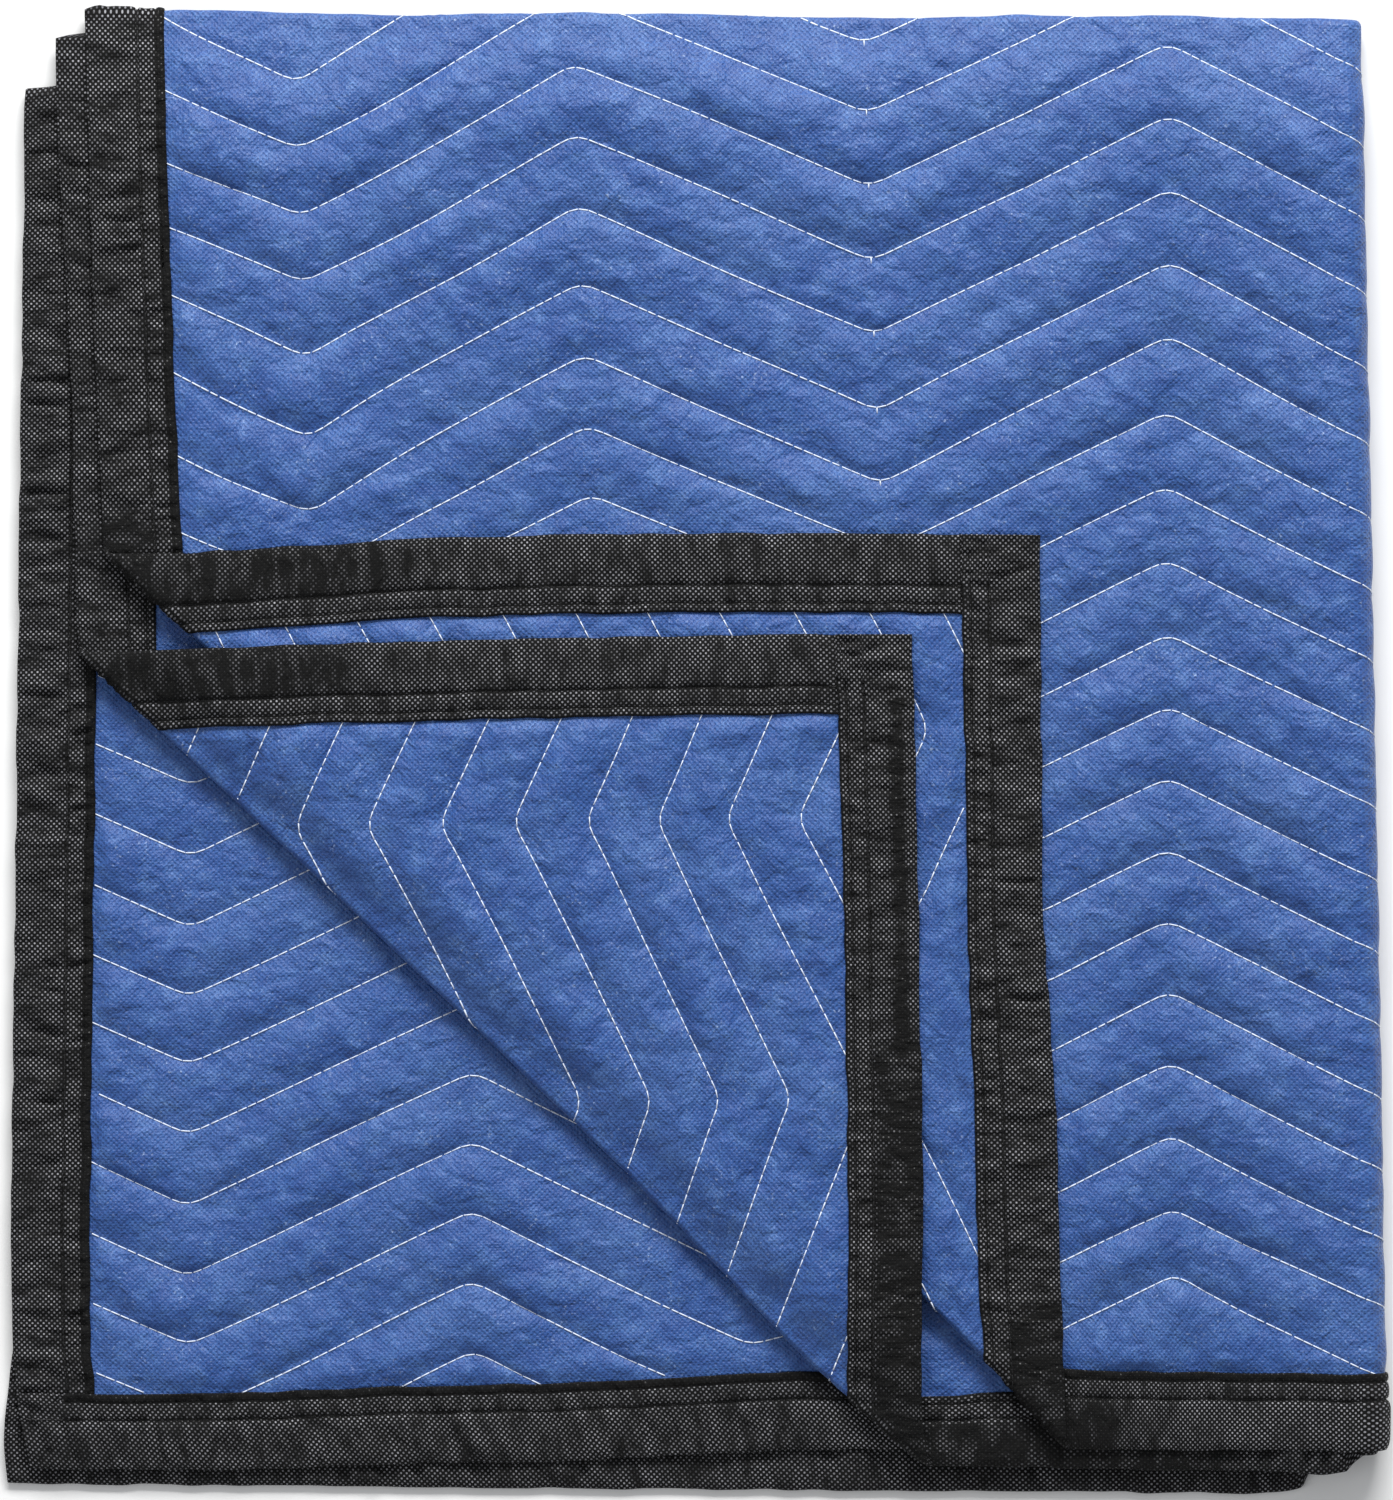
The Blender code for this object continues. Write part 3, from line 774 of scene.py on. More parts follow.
    def half(self, u: Array, v: Array, side: Side) -> Array:
        """Distance of a cover from the middle of the cloth.

        Args:
            u: Places across the sheet.
            v: Places along it.
            side: Which cover.

        Returns:
            Distances, all above zero.
        """
        rows = np.maximum(self.rows(u, v), self.first_row - 0.5)
        off_row = np.abs(rows - np.round(rows))
        opened = self.plan.open_share(side, u, v)
        bent = self.plan.fold_share(u, v)
        arch = 1 - (1 - 2 * off_row) ** self.arch_power
        crown = arch * (1 - (1 - self.fold_crown) * bent)
        top = self.crown_half + self.open_rise * opened * (1 - bent)
        pillow = self.stitch_half + (top - self.stitch_half) * crown * (1 + self.puff.at(u, v) * opened)
        near_row = np.exp(-off_row * self.pitch / self.pucker_reach)
        near_row = near_row * smoothstep(0.0, 0.06, off_row)
        creased = self.pucker.at(u, v) * near_row
        creased = creased + sum(wrinkle.at(u, v) for wrinkle in self.wrinkles) * np.sqrt(arch)
        pillow = pillow + creased * opened * (1 - self.fold_calm * bent)
        edge = np.minimum.reduce([u, self.plan.width - u, *self.plan.from_ends(u, v)])
        free = smoothstep(*self.hem_fade, edge - self.hem_width)
        return self.hem_half + (np.maximum(pillow, self.hem_half) - self.hem_half) * free


# ---------------------------------------------------------------- finishes


def linear(tone: str) -> tuple[float, float, float, float]:
    """Turn an sRGB hex colour such as "#4a72b4" into linear red, green, blue and alpha."""
    parts = [int(tone[start : start + 2], 16) / 255 for start in (1, 3, 5)]
    bright = [part / 12.92 if part <= 0.04045 else ((part + 0.055) / 1.055) ** 2.4 for part in parts]
    return bright[0], bright[1], bright[2], 1.0


def add_node(
    tree: bpy.types.NodeTree,
    kind: str,
    inputs: Mapping[Any, Any] | None = None,
    output: str = "",
    **settings: Any,
) -> bpy.types.NodeSocket:
    """Add a node to a material.

    Args:
        tree: The material's node tree.
        kind: The node's type name, without "ShaderNode".
        inputs: Value, or output to link, for each input by name or number.
        output: Name of the output wanted.
        settings: Values of the node's own properties.

    Returns:
        The output asked for, or else the first one in use.
    """
    node = tree.nodes.new("ShaderNode" + kind)
    for name, value in settings.items():
        setattr(node, name, value)
    for key, value in (inputs or {}).items():
        if isinstance(value, bpy.types.NodeSocket):
            tree.links.new(value, node.inputs[key])
        else:
            node.inputs[key].default_value = value
    return node.outputs[output] if output else [one for one in node.outputs if one.enabled][0]


def new_material(name: str) -> tuple[bpy.types.Material, bpy.types.NodeTree, bpy.types.Node]:
    """Make a material and return it with its tree and its Principled shader."""
    material = bpy.data.materials.new(name)
    material.use_nodes = True
    return material, material.node_tree, material.node_tree.nodes["Principled BSDF"]


def dot_lattice(
    tree: bpy.types.NodeTree, place: bpy.types.NodeSocket, pitch: float, edge: tuple[float, float]
) -> bpy.types.NodeSocket:
    """Round dots at the corners and middles of square cells.

    Args:
        tree: The material's node tree.
        place: Coordinates in metres.
        pitch: Side of a cell, in metres.
        edge: Heights of the dots' soft edge, between -1 and 1.

    Returns:
        Share from 0 between dots to 1 on them.
    """
    spread = add_node(tree, "VectorMath", {0: place, 3: math.tau / pitch}, operation="SCALE")
    part_u = add_node(tree, "SeparateXYZ", {0: spread}, output="X")
    part_v = add_node(tree, "SeparateXYZ", {0: spread}, output="Y")
    wave_u = add_node(tree, "Math", {0: part_u}, operation="COSINE")
    wave_v = add_node(tree, "Math", {0: part_v}, operation="COSINE")
    lattice = add_node(tree, "Math", {0: wave_u, 1: wave_v}, operation="MULTIPLY")
    return add_node(tree, "MapRange", {"Value": lattice, "From Min": edge[0], "From Max": edge[1]})


def relief(
    tree: bpy.types.NodeTree, steps: Sequence[tuple[bpy.types.NodeSocket, float, bool]]
) -> bpy.types.NodeSocket:
    """Normal bent by several heights, one on the other.

    Args:
        tree: The material's node tree.
        steps: A height from 0 to 1, its size in metres, and whether it is pressed in.

    Returns:
        The normal.
    """
    normal = add_node(tree, "NewGeometry", output="Normal")
    for height, distance, pressed in steps:
        inputs = {"Height": height, "Distance": distance, "Strength": 1.0, "Normal": normal}
        normal = add_node(tree, "Bump", inputs, invert=pressed)
    return normal


@dataclass(frozen=True)
class SpunbondCover:
    """Spunbond polypropylene cover cloth, point-bonded between heated rollers.

    It looks matt blue with paler clumps of fibre, specks of lint and a fine lattice of pressed
    dots.
    """

    deep: str = "#143677"
    thin: str = "#214a90"
    plain: str = "#2c5ca2"
    pale: str = "#6c96cf"
    lint: str = "#bdd2ee"
    dot_pitch: float = 0.0039
    dot_edge: tuple[float, float] = (-0.1, 0.8)
    dot_share: float = 0.48
    clump_size: float = 0.016
    cloud_size: float = 0.070
    fleck_size: float = 0.0030
    patch_size: float = 1 / 33
    grain_size: float = 0.0016
    wrinkle_size: float = 0.0150

    def material(self) -> bpy.types.Material:
        """Build the cover's finish."""
        made, tree, shader = new_material("spunbond_polypropylene_blue")
        cloth = add_node(tree, "UVMap", uv_map="cloth")
        # Fibres lie thicker in some places than in others, which shows as pale and deep clumps.
        fibre = {"Vector": cloth, "Scale": 1 / self.clump_size, "Detail": 5.0, "Roughness": 0.6}
        clumps = add_node(tree, "TexNoise", fibre)
        thick = add_node(tree, "MapRange", {"Value": clumps, "From Min": 0.25, "From Max": 0.55})
        paler = {"Value": clumps, "From Min": 0.52, "From Max": 0.82, "To Max": 0.60}
        bunched = add_node(tree, "MapRange", paler)
        # Handling leaves broad worn areas a little paler.
        cloud = {"Vector": cloth, "Scale": 1 / self.cloud_size, "Detail": 3.0}
        worn = {"Value": add_node(tree, "TexNoise", cloud), "From Min": 0.44, "From Max": 0.74}
        worn = add_node(tree, "MapRange", worn | {"To Max": 0.22})
        # Lint gathers in patches of small specks.
        fleck = {"Vector": cloth, "Scale": 1 / self.fleck_size, "Detail": 3.0, "Roughness": 0.7}
        specks = {"Value": add_node(tree, "TexNoise", fleck), "From Min": 0.58, "From Max": 0.74}
        patch = {"Vector": cloth, "Scale": 1 / self.patch_size, "Detail": 2.0}
        strewn = {"Value": add_node(tree, "TexNoise", patch), "From Min": 0.42, "From Max": 0.66}
        both = {
            0: add_node(tree, "MapRange", specks),
            1: add_node(tree, "MapRange", strewn | {"To Max": 0.85}),
        }
        linty = add_node(tree, "Math", both, operation="MULTIPLY")
        # Single fibres give a fine grain, and the pressed dots are darker and smoother.
        fine = {"Vector": cloth, "Scale": 1 / self.grain_size, "Detail": 2.0}
        grain = add_node(tree, "TexNoise", fine)
        between = {"Value": grain, "From Min": 0.62, "From Max": 0.30, "To Max": 0.75}
        shaded = add_node(tree, "MapRange", between)
        dots = dot_lattice(tree, cloth, self.dot_pitch, self.dot_edge)
        pressed = add_node(tree, "Math", {0: dots, 1: self.dot_share}, operation="MULTIPLY")
        tone = linear(self.thin)
        for share, colour in (
            (thick, self.plain),
            (bunched, self.pale),
            (worn, self.pale),
            (linty, self.lint),
            (shaded, self.deep),
            (pressed, self.deep),
        ):
            over = {"Factor": share, 6: tone, 7: linear(colour)}
            tone = add_node(tree, "Mix", over, data_type="RGBA")
        tree.links.new(tone, shader.inputs["Base Color"])
        shader.inputs["Roughness"].default_value = 0.54
        shader.inputs["Specular IOR Level"].default_value = 0.52
        shader.inputs["Sheen Weight"].default_value = 0.10
        shader.inputs["Sheen Roughness"].default_value = 0.5
        crumple = {"Vector": cloth, "Scale": 1 / self.wrinkle_size, "Detail": 3.0, "Distortion": 0.4}
        wrinkles = add_node(tree, "TexNoise", crumple)
        steps = ((wrinkles, 0.0044, False), (grain, 0.0004, False), (dots, 0.0003, True))
        tree.links.new(relief(tree, steps), shader.inputs["Normal"])
        return made


@dataclass(frozen=True)
class SpunbondBinding:
    """Black spunbond binding strip, bonded with a lattice of smooth dots.

    The ground stays near black, and the dots shine wherever a gather faces the light.
    """

    ground: str = "#040404"
    dot: str = "#8f8f94"
    pitch: float = 0.0040
    dot_edge: tuple[float, float] = (0.28, 0.60)
    # Size of the patches of painted light and shade on the dots, along the strip and across it.
    shade_patch_size: tuple[float, float] = (0.010, 0.026)
    crumple_size: tuple[float, float] = (0.0070, 0.0160)

    def material(self) -> bpy.types.Material:
        """Build the binding's finish."""
        made, tree, shader = new_material("spunbond_polypropylene_black")
        cloth = add_node(tree, "UVMap", uv_map="cloth")
        dots = dot_lattice(tree, cloth, self.pitch, self.dot_edge)
        # Painted light and shade: random patches that lie across the strip dim the dots, standing in for
        # gathers that turn them away from the light.
        finer = (1 / self.shade_patch_size[0], 1 / self.shade_patch_size[1], 1.0)
        spread = add_node(tree, "VectorMath", {0: cloth, 1: finer}, operation="MULTIPLY")
        patchy = {"Vector": spread, "Scale": 1.0, "Detail": 3.0, "Roughness": 0.6}
        painted_light_and_shade = {"Value": add_node(tree, "TexNoise", patchy), "From Min": 0.34, "From Max": 0.64}
        share = add_node(tree, "MapRange", painted_light_and_shade | {"To Min": 0.08})
        # The dots are lost along the seam, the hem seam and the inner edge. The same attribute carries
        # painted shade past the hem on the upper side of an unturned strip and in the shaded stretches,
        # with a painted highlight where it goes below 0.
        seam_loss_and_painted_shade = add_node(tree, "Attribute", output="Fac", attribute_name="seam_loss_and_painted_shade")
        share = add_node(tree, "Math", {0: share, 1: seam_loss_and_painted_shade}, operation="SUBTRACT", use_clamp=True)
        gloss = add_node(tree, "MapRange", {"Value": dots, "To Min": 0.92, "To Max": 0.40})
        tree.links.new(gloss, shader.inputs["Roughness"])
        share = add_node(tree, "Math", {0: dots, 1: share}, operation="MULTIPLY")
        over = {"Factor": share, 6: linear(self.ground), 7: linear(self.dot)}
        tree.links.new(add_node(tree, "Mix", over, data_type="RGBA"), shader.inputs["Base Color"])
        shader.inputs["Specular IOR Level"].default_value = 0.30
        finer = (1 / self.crumple_size[0], 1 / self.crumple_size[1], 1.0)
        spread = add_node(tree, "VectorMath", {0: cloth, 1: finer}, operation="MULTIPLY")
        creased = {"Vector": spread, "Scale": 1.0, "Detail": 2.0, "Distortion": 0.6}
        crumple = add_node(tree, "TexNoise", creased)
        steps = ((crumple, 0.0040, False), (dots, 0.00030, True))
        tree.links.new(relief(tree, steps), shader.inputs["Normal"])
        return made


@dataclass(frozen=True)
class PolyesterThread:
    """Spun polyester sewing thread, with a soft shine."""

    name: str
    tone: str
    shade: str
    uneven_size: float = 1 / 180

    def material(self) -> bpy.types.Material:
        """Build the thread's finish, a little uneven along its length."""
        made, tree, shader = new_material(self.name)
        place = add_node(tree, "TexCoord", output="Object")
        noise = {"Vector": place, "Scale": 1 / self.uneven_size, "Detail": 2.0}
        uneven = add_node(tree, "TexNoise", noise)
        over = {"Factor": uneven, 6: linear(self.shade), 7: linear(self.tone)}
        tree.links.new(add_node(tree, "Mix", over, data_type="RGBA"), shader.inputs["Base Color"])
        shader.inputs["Roughness"].default_value = 0.5
        return made


@dataclass(frozen=True)
class PaperFloor:
    """Matt white paper sweep under the blanket."""

    tone: str = "#f4f4f3"
    tooth_size: float = 0.0025

    def material(self) -> bpy.types.Material:
        """Build the floor's finish, with a faint paper tooth."""
        made, tree, shader = new_material("matt_paper_white")
        place = add_node(tree, "TexCoord", output="Object")
        tooth = add_node(tree, "TexNoise", {"Vector": place, "Scale": 1 / self.tooth_size})
        shader.inputs["Base Color"].default_value = linear(self.tone)
        shader.inputs["Roughness"].default_value = 0.9
        tree.links.new(relief(tree, ((tooth, 0.00002, False),)), shader.inputs["Normal"])
        return made


# ---------------------------------------------------------------- mesh making


def mesh_object(
    name: str,
    points: Array,
    faces: Sequence[Sequence[int]],
    material: bpy.types.Material,
    uv: Array | None = None,
) -> bpy.types.Object:
    """Make a smooth-shaded object whose place is in its mesh.

    Args:
        name: The piece's name.
        points: One point a row.
        faces: Corner numbers of each face.
        material: Its finish.
        uv: Cloth coordinates of each point, if the finish follows the cloth.

    Returns:
        The object, linked to the scene.
    """
    mesh = bpy.data.meshes.new(name)
    mesh.from_pydata(points.tolist(), [], faces)
    mesh.materials.append(material)
    mesh.shade_smooth()
    if uv is not None:
        layer = mesh.uv_layers.new(name="cloth")
        corner = np.empty(len(mesh.loops), dtype=np.int32)
        mesh.loops.foreach_get("vertex_index", corner)
        layer.data.foreach_set("uv", uv[corner].astype(np.float32).ravel())
    mesh.validate()
    made = bpy.data.objects.new(name, mesh)
    bpy.context.scene.collection.objects.link(made)
    return made


def divide(
    sheet: bmesh.types.BMesh, lines: Sequence[tuple[tuple, tuple]], trim: bool = False
) -> None:
    """Divide a mesh on the open sheet.

    Args:
        sheet: The mesh.
        lines: A point and a normal for each line.
        trim: Whether what lies past a line, on the side of its normal, is cut away.
    """
    for point, normal in lines:
        bmesh.ops.bisect_plane(
            sheet,
            geom=sheet.verts[:] + sheet.edges[:] + sheet.faces[:],
            dist=1e-5,
            plane_co=(*point, 0.0),
            plane_no=Vector((*normal, 0.0)).normalized(),
            clear_outer=trim,
        )


@dataclass(frozen=True)
class QuiltedCover:
    """One cover of the quilted panel, finer where it shows.

    Args:
        plan: How the sheet lies.
        quilting: Its rows of quilting.
        side: Which side of the cloth it covers.
        name: The piece's name.
    """

    plan: FoldPlan
    quilting: Quilting
    side: Side
    name: str
    inset: float = 0.0035
    cells_a_pitch: int = 4
    fine_cells: int = 3
    arc_steps: int = 8
    row_crowding: float = 0.62
    least_edge: float = 0.0004
    fine_margin: float = 0.045
    fine_bend: float = 0.4

    def shows(self, u: Array, v: Array) -> Array:
        """Whether places of the sheet can be seen on this side once it is folded."""
        opened = self.plan.open_share(self.side, u, v, margin=self.fine_margin) > 0
        return opened | (self.plan.fold_share(u, v) > self.fine_bend)

    def grid(self) -> tuple[Array, list[list[int]]]:
        """Draw the cover on the open sheet, along its rows of quilting.

        Returns:
            The points' u and v, and the faces, finer where the cover shows.
        """
        plan, quilting, fine = self.plan, self.quilting, self.fine_cells
        step = quilting.pitch / self.cells_a_pitch
        turns = [knot for knot, _ in quilting.zigzag.rows]
        columns = [turns[0]]
        for low, high in zip(turns, turns[1:]):
            count = fine * max(round((high - low) / step), 1)
            columns += [low + (high - low) * part / count for part in range(1, count + 1)]
        shifts = [shift for _, shift in quilting.zigzag.rows]
        first = math.floor((-quilting.first - max(shifts)) / quilting.pitch)
        last = math.ceil((plan.length - quilting.first - min(shifts)) / quilting.pitch)
        rows = np.arange(first * self.cells_a_pitch * fine, last * self.cells_a_pitch * fine + 1)
        rows = rows / (self.cells_a_pitch * fine)
        rows = rows - self.row_crowding * np.sin(math.tau * rows) / math.tau
        grid_u, grid_row = np.meshgrid(columns, rows, indexing="ij")
        grid_v = quilting.row_v(grid_row, grid_u)

        wide, tall = (grid_u.shape[0] - 1) // fine, (grid_u.shape[1] - 1) // fine
        middle = fine // 2
        cell_u = grid_u[middle::fine, middle::fine][:wide, :tall]
        cell_v = grid_v[middle::fine, middle::fine][:wide, :tall]
        inside = (cell_v > -step) & (cell_v < plan.length + step)
        is_fine = self.shows(cell_u, cell_v) & inside

        number = -np.ones(grid_u.shape, dtype=int)
        order: list[tuple[int, int]] = []
        faces: list[list[int]] = []

        def corner(i: int, j: int) -> int:
            """Number of a grid point, given out when it is first used."""
            if number[i, j] < 0:
                number[i, j] = len(order)
                order.append((i, j))
            return int(number[i, j])

        def finer(i: int, j: int) -> bool:
            """Whether the cell at i, j is divided."""
            return 0 <= i < wide and 0 <= j < tall and bool(is_fine[i, j])

        for i, j in zip(*np.nonzero(inside)):
            low_i, low_j, high_i, high_j = i * fine, j * fine, (i + 1) * fine, (j + 1) * fine
            if is_fine[i, j]:
                for a in range(low_i, high_i):
                    for b in range(low_j, high_j):
                        cell = ((a, b), (a + 1, b), (a + 1, b + 1), (a, b + 1))
                        faces.append([corner(*place) for place in cell])
                continue
            ring = [(low_i, low_j)]
            ring += [(low_i + k, low_j) for k in range(1, fine)] if finer(i, j - 1) else []
            ring += [(high_i, low_j)]
            ring += [(high_i, low_j + k) for k in range(1, fine)] if finer(i + 1, j) else []
            ring += [(high_i, high_j)]
            ring += [(high_i - k, high_j) for k in range(1, fine)] if finer(i, j + 1) else []
            ring += [(low_i, high_j)]
            ring += [(low_i, high_j - k) for k in range(1, fine)] if finer(i - 1, j) else []
            faces.append([corner(*place) for place in ring])
        chosen = np.array(order)
        return np.stack((grid_u[tuple(chosen.T)], grid_v[tuple(chosen.T)]), axis=-1), faces

    def bend_lines(self) -> list[tuple[tuple, tuple]]:
        """Lines along which the cover is divided so that its folds are round."""
        plan, steps = self.plan, self.arc_steps
        shares = [2 * step / steps - 1 for step in range(steps + 1)]
        lines = [((plan.side_fold + plan.side_arc * share, 0), (1, 0)) for share in shares]
        lines += [((0, plan.end_fold + plan.end_arc * share), (0, 1)) for share in shares]
        for layer, line in plan.corners.items():
            reach = math.hypot(line.side, line.end)
            for share in shares:
                from_side = line.end - plan.end_arc * (share + 1) * reach / line.side
                if layer is Layer.OUTER:
                    lines.append(((from_side, 0), (line.side, line.end)))
                else:
                    lines.append(((from_side, plan.length), (line.side, -line.end)))
        return lines

    def build(self, material: bpy.types.Material) -> bpy.types.Object:
        """Model the cover and lay it in its folds.

        Args:
            material: The cover's finish.

        Returns:
            The finished piece.
        """
        places, faces = self.grid()
        sheet = bmesh.new()
        verts = [sheet.verts.new((u, v, 0.0)) for u, v in places]
        for face in faces:
            sheet.faces.new([verts[index] for index in face])
        low = (self.inset, self.inset)
        high = (self.plan.width - self.inset, self.plan.length - self.inset)
        edges = ((low, (-1, 0)), (low, (0, -1)), (high, (1, 0)), (high, (0, 1)))
        divide(sheet, edges, trim=True)
        divide(sheet, self.bend_lines())
        bmesh.ops.remove_doubles(sheet, verts=sheet.verts[:], dist=self.least_edge)
        sheet.verts.index_update()
        flat = np.array([vert.co[:2] for vert in sheet.verts])
        faces = [[vert.index for vert in face.verts] for face in sheet.faces]
        sheet.free()
        if self.side is Side.BACK:
            faces = [face[::-1] for face in faces]
        half = self.quilting.half(flat[:, 0], flat[:, 1], self.side) * self.side.value
        points = self.plan.place(flat[:, 0], flat[:, 1], half)
        return mesh_object(self.name, points, faces, material, flat)


class Tuck(NamedTuple):
    """Crease or ridge right across a binding.

    Its place is where it meets the edge, and slant is how far it goes along for each step in.
    """

    along: float
    slant: float
    width: float
    height: float


def tuck_rows(*rows: tuple[float, float, float, float]) -> tuple[Tuck, ...]:
    """Tucks from rows of place, slant, width and height."""
    return tuple(Tuck(*row) for row in rows)


@dataclass(frozen=True)
class Gathers:
    """Puckers that the sewing draws into a binding.

    Args:
        seed: Start of the random series.
        strength: Height of the gathers, as a share of the usual height.
        calm: Stretches of the edge that lie smoother, each a start, an end and a strength.
        tucks: Its main creases and ridges.
    """

    seed: int
    strength: float = 1.0
    calm: Sequence[tuple[float, float, float]] = ()
    tucks: Sequence[Tuck] = ()
    ridge: float = 0.0165
    height: float = 0.0072
    inner_ridge: float = 0.0095
    inner_height: float = 0.0036
    sharpness: float = 2.4
    slant_share: float = 0.35
    crease_level: float = 0.66
    outer_band: tuple[float, float, float, float] = (0.0, 0.009, 0.030, 0.0368)
    inner_band: tuple[float, float, float, float] = (0.0372, 0.042, 0.051, 0.0562)
    calm_fade: float = 0.04
    edge_wave: float = 0.0008

    def envelope(self, along: Array) -> Array:
        """Strength of the gathers at distances along the edge."""
        uneven = Unevenness(0.07, 0.5, self.seed + 3).at(along, along * 0)
        strength = self.strength * (1 + uneven)
        for start, end, share in self.calm:
            inside = smoothstep(start - self.calm_fade, start, along)
            inside = inside * smoothstep(end + self.calm_fade, end, along)
            strength = strength * (1 - inside * (1 - share))
        return strength

    def lift(self, along: Array, depth: Array) -> Array:
        """Height of the gathers at distances along the edge and depths in from it.

        The gathers are rounded humps with sharp creases between them.
        """
        outer, inner = (
            smoothstep(band[0], band[1], depth) * smoothstep(band[3], band[2], depth)
            for band in (self.outer_band, self.inner_band)
        )
        ridges = Unevenness(self.ridge, 1.0, self.seed, stretch=2.6, angle=84.0)
        slants = Unevenness(self.ridge * 0.6, 1.0, self.seed + 1, stretch=2.6, angle=58.0)
        tucks = Unevenness(self.inner_ridge, 1.0, self.seed + 2, stretch=3.0, angle=90.0)
        humps, cross, small = (
            np.tanh(self.sharpness * np.abs(noise.at(along, depth))) for noise in (ridges, slants, tucks)
        )
        folds = humps * (1 - self.slant_share) + cross * self.slant_share
        lift = (folds - self.crease_level) * self.height * outer
        lift = lift + (small - self.crease_level) * self.inner_height * inner
        lift = lift * self.envelope(along)
        for tuck in self.tucks:
            off = (along - tuck.along - tuck.slant * depth) / tuck.width
            lift = lift + tuck.height * np.exp(-off * off) * np.maximum(outer, inner)
        return lift

    def wave(self, along: Array, edge: int) -> Array:
        """How far an edge of the strip wavers: edge 0 is the outer one and 1 the inner one."""
        return Unevenness(0.017, self.edge_wave, self.seed + 5 + edge).at(along, along * 0 + edge)


@dataclass(frozen=True)
class Binding:
    """Strip folded round one edge of the sheet and sewn through.

    Args:
        plan: How the sheet lies.
        name: The piece's name.
        start: Where it starts along its edge.
        end: Where it ends.
        place: Turns distances along the edge and depths into u and v.
        gathers: Its puckers.
        lapping: Whether it lies over the other bindings at the corners.
        spread: Its width along the edge, as a share of the usual width.
        shaded_stretches: Stretches that lie smooth and carry painted shade on the dots: start, end,
            least and most depth, and the share of painted shade, a painted highlight when below 0.
    """

    plan: FoldPlan
    name: str
    start: float
    end: float
    place: Callable[[Array, Array], tuple[Array, Array]]
    gathers: Gathers
    lapping: bool
    spread: Curve = Curve(((0.0, 1.0), (2.04, 1.0)))
    shaded_stretches: Sequence[tuple[float, float, float, float, float]] = ()
    width: float = 0.056
    seam_depth: float = 0.0368
    seam_points: int = 800
    bare_tip: float = 0.003
    step: float = 0.0019
    least_half: float = 0.00155
    under_share: float = 0.70
    under_gathers: float = 0.25
    lap_rise: float = 0.0012
    mitre_width: float = 0.0015
    mitre_depth: float = 0.0016
    mitre_reach: float = 0.018
    mitre_fades: tuple[float, float] = (0.004, 0.008)
    corner: float = 0.031
    corner_fade: float = 0.003
    corner_half: float = 0.0037
    arch: tuple[float, float, float] = (0.0240, 0.0389, 37.0)
    arch_width: float = 0.0014
    arch_depth: float = 0.0016
    arch_fade: tuple[float, float] = (0.016, 0.026)
    pulled_depths: Sequence[float] = (0.0368, 0.0496, 0.0558)
    # Past this depth the upper side of an unturned strip has its dots darkened, as painted shade along
    # the hem.
    hem_shade_depth: float = 0.0490
    # How far the gathers flatten in the stretches of painted shade, and how those stretches fade in and
    # out.
    shaded_stretch_calm: float = 1.5
    shaded_stretch_fades: tuple[float, float] = (0.05, 0.03)
    lap: tuple[float, float, float, float] = (0.062, 0.054, 0.030, 0.046)
    filled: tuple[float, float] = (0.0336, 0.0520)
    end_taper: float = 0.010
    end_share: float = 0.45
    section: Sequence[tuple[float, float]] = (
        (0.0500, 0.00155), (0.0556, 0.00155), (0.0562, 0.0019), (0.0558, 0.0026), (0.0542, 0.0030),
        (0.0520, 0.0030), (0.0506, 0.0025), (0.0496, 0.0016), (0.0486, 0.0026), (0.0468, 0.0032),
        (0.0436, 0.0035), (0.0404, 0.0034), (0.0384, 0.0029), (0.0368, 0.0012), (0.0353, 0.0029),
        (0.0336, 0.0037), (0.0310, 0.0041), (0.0270, 0.0042), (0.0218, 0.0041), (0.0158, 0.0041),
        (0.0108, 0.0039), (0.0068, 0.0034), (0.0038, 0.0027), (0.0016, 0.0018), (0.0002, 0.0009),
    )

    def ring(self) -> Array:
        """Section right round the edge: depth, height off the cloth, and distance from the edge."""
        front = list(self.section)
        back = [(depth, -height) for depth, height in reversed(front)]
        points = np.array(front + back)
        run = np.concatenate(([0.0], np.cumsum(np.hypot(*np.diff(points, axis=0).T))))
        return np.column_stack((points, run - run[-1] / 2))

    def lay(self, along: Array, depth: Array) -> tuple[Array, Array]:
        """Turn distances along the edge and depths in from it into u and v."""
        return self.place(along, depth * self.spread.at(along))

    def painted_light_and_shade(self, along: Array, depth: Array) -> Array:
        """Painted shade on the dots in the shaded stretches, from 0 to 1, and painted highlight below 0.
        """
        most = np.zeros_like(along)
        for start, end, outer, inner, share in self.shaded_stretches:
            inside = smoothstep(start, start + self.shaded_stretch_fades[0], along)
            inside = inside * smoothstep(end, end - self.shaded_stretch_fades[1], along)
            most = most + share * inside * (depth > outer) * (depth < inner)
        return most

    def dots_dimmed(self, along: Array, depth: Array, height: Array) -> Array:
        """How far the dots are dimmed, from 0 to 1. They are lost along the seams, and carry painted
        shade past the hem on an unturned upper side and in the shaded stretches, which give a painted
        highlight below 0.
        """
        u, v = self.place(along, depth)
        corner = self.plan.corners[Layer.INNER]
        turned = u / corner.end + (self.plan.length - v) / corner.side < 1.0
        # Seams lose their dots. Past the hem on the upper side of an unturned strip, the darkening is
        # painted shade.
        lost = np.isin(depth, self.pulled_depths) | ((height > 0) & (depth > self.hem_shade_depth) & ~turned)
        lost = lost * (1 - self.corner_share(along))
        return lost + self.painted_light_and_shade(along, depth)

    def from_tip(self, along: Array) -> Array:
        """Distances from the nearer tip of the strip."""
        return np.minimum(along - self.start, self.end - along)

    def corner_share(self, along: Array) -> Array:
        """Where the strip lies smooth over a corner of the sheet, with no seam of its own."""
        faded = smoothstep(self.corner + self.corner_fade, self.corner, self.from_tip(along))
        return faded * self.lapping

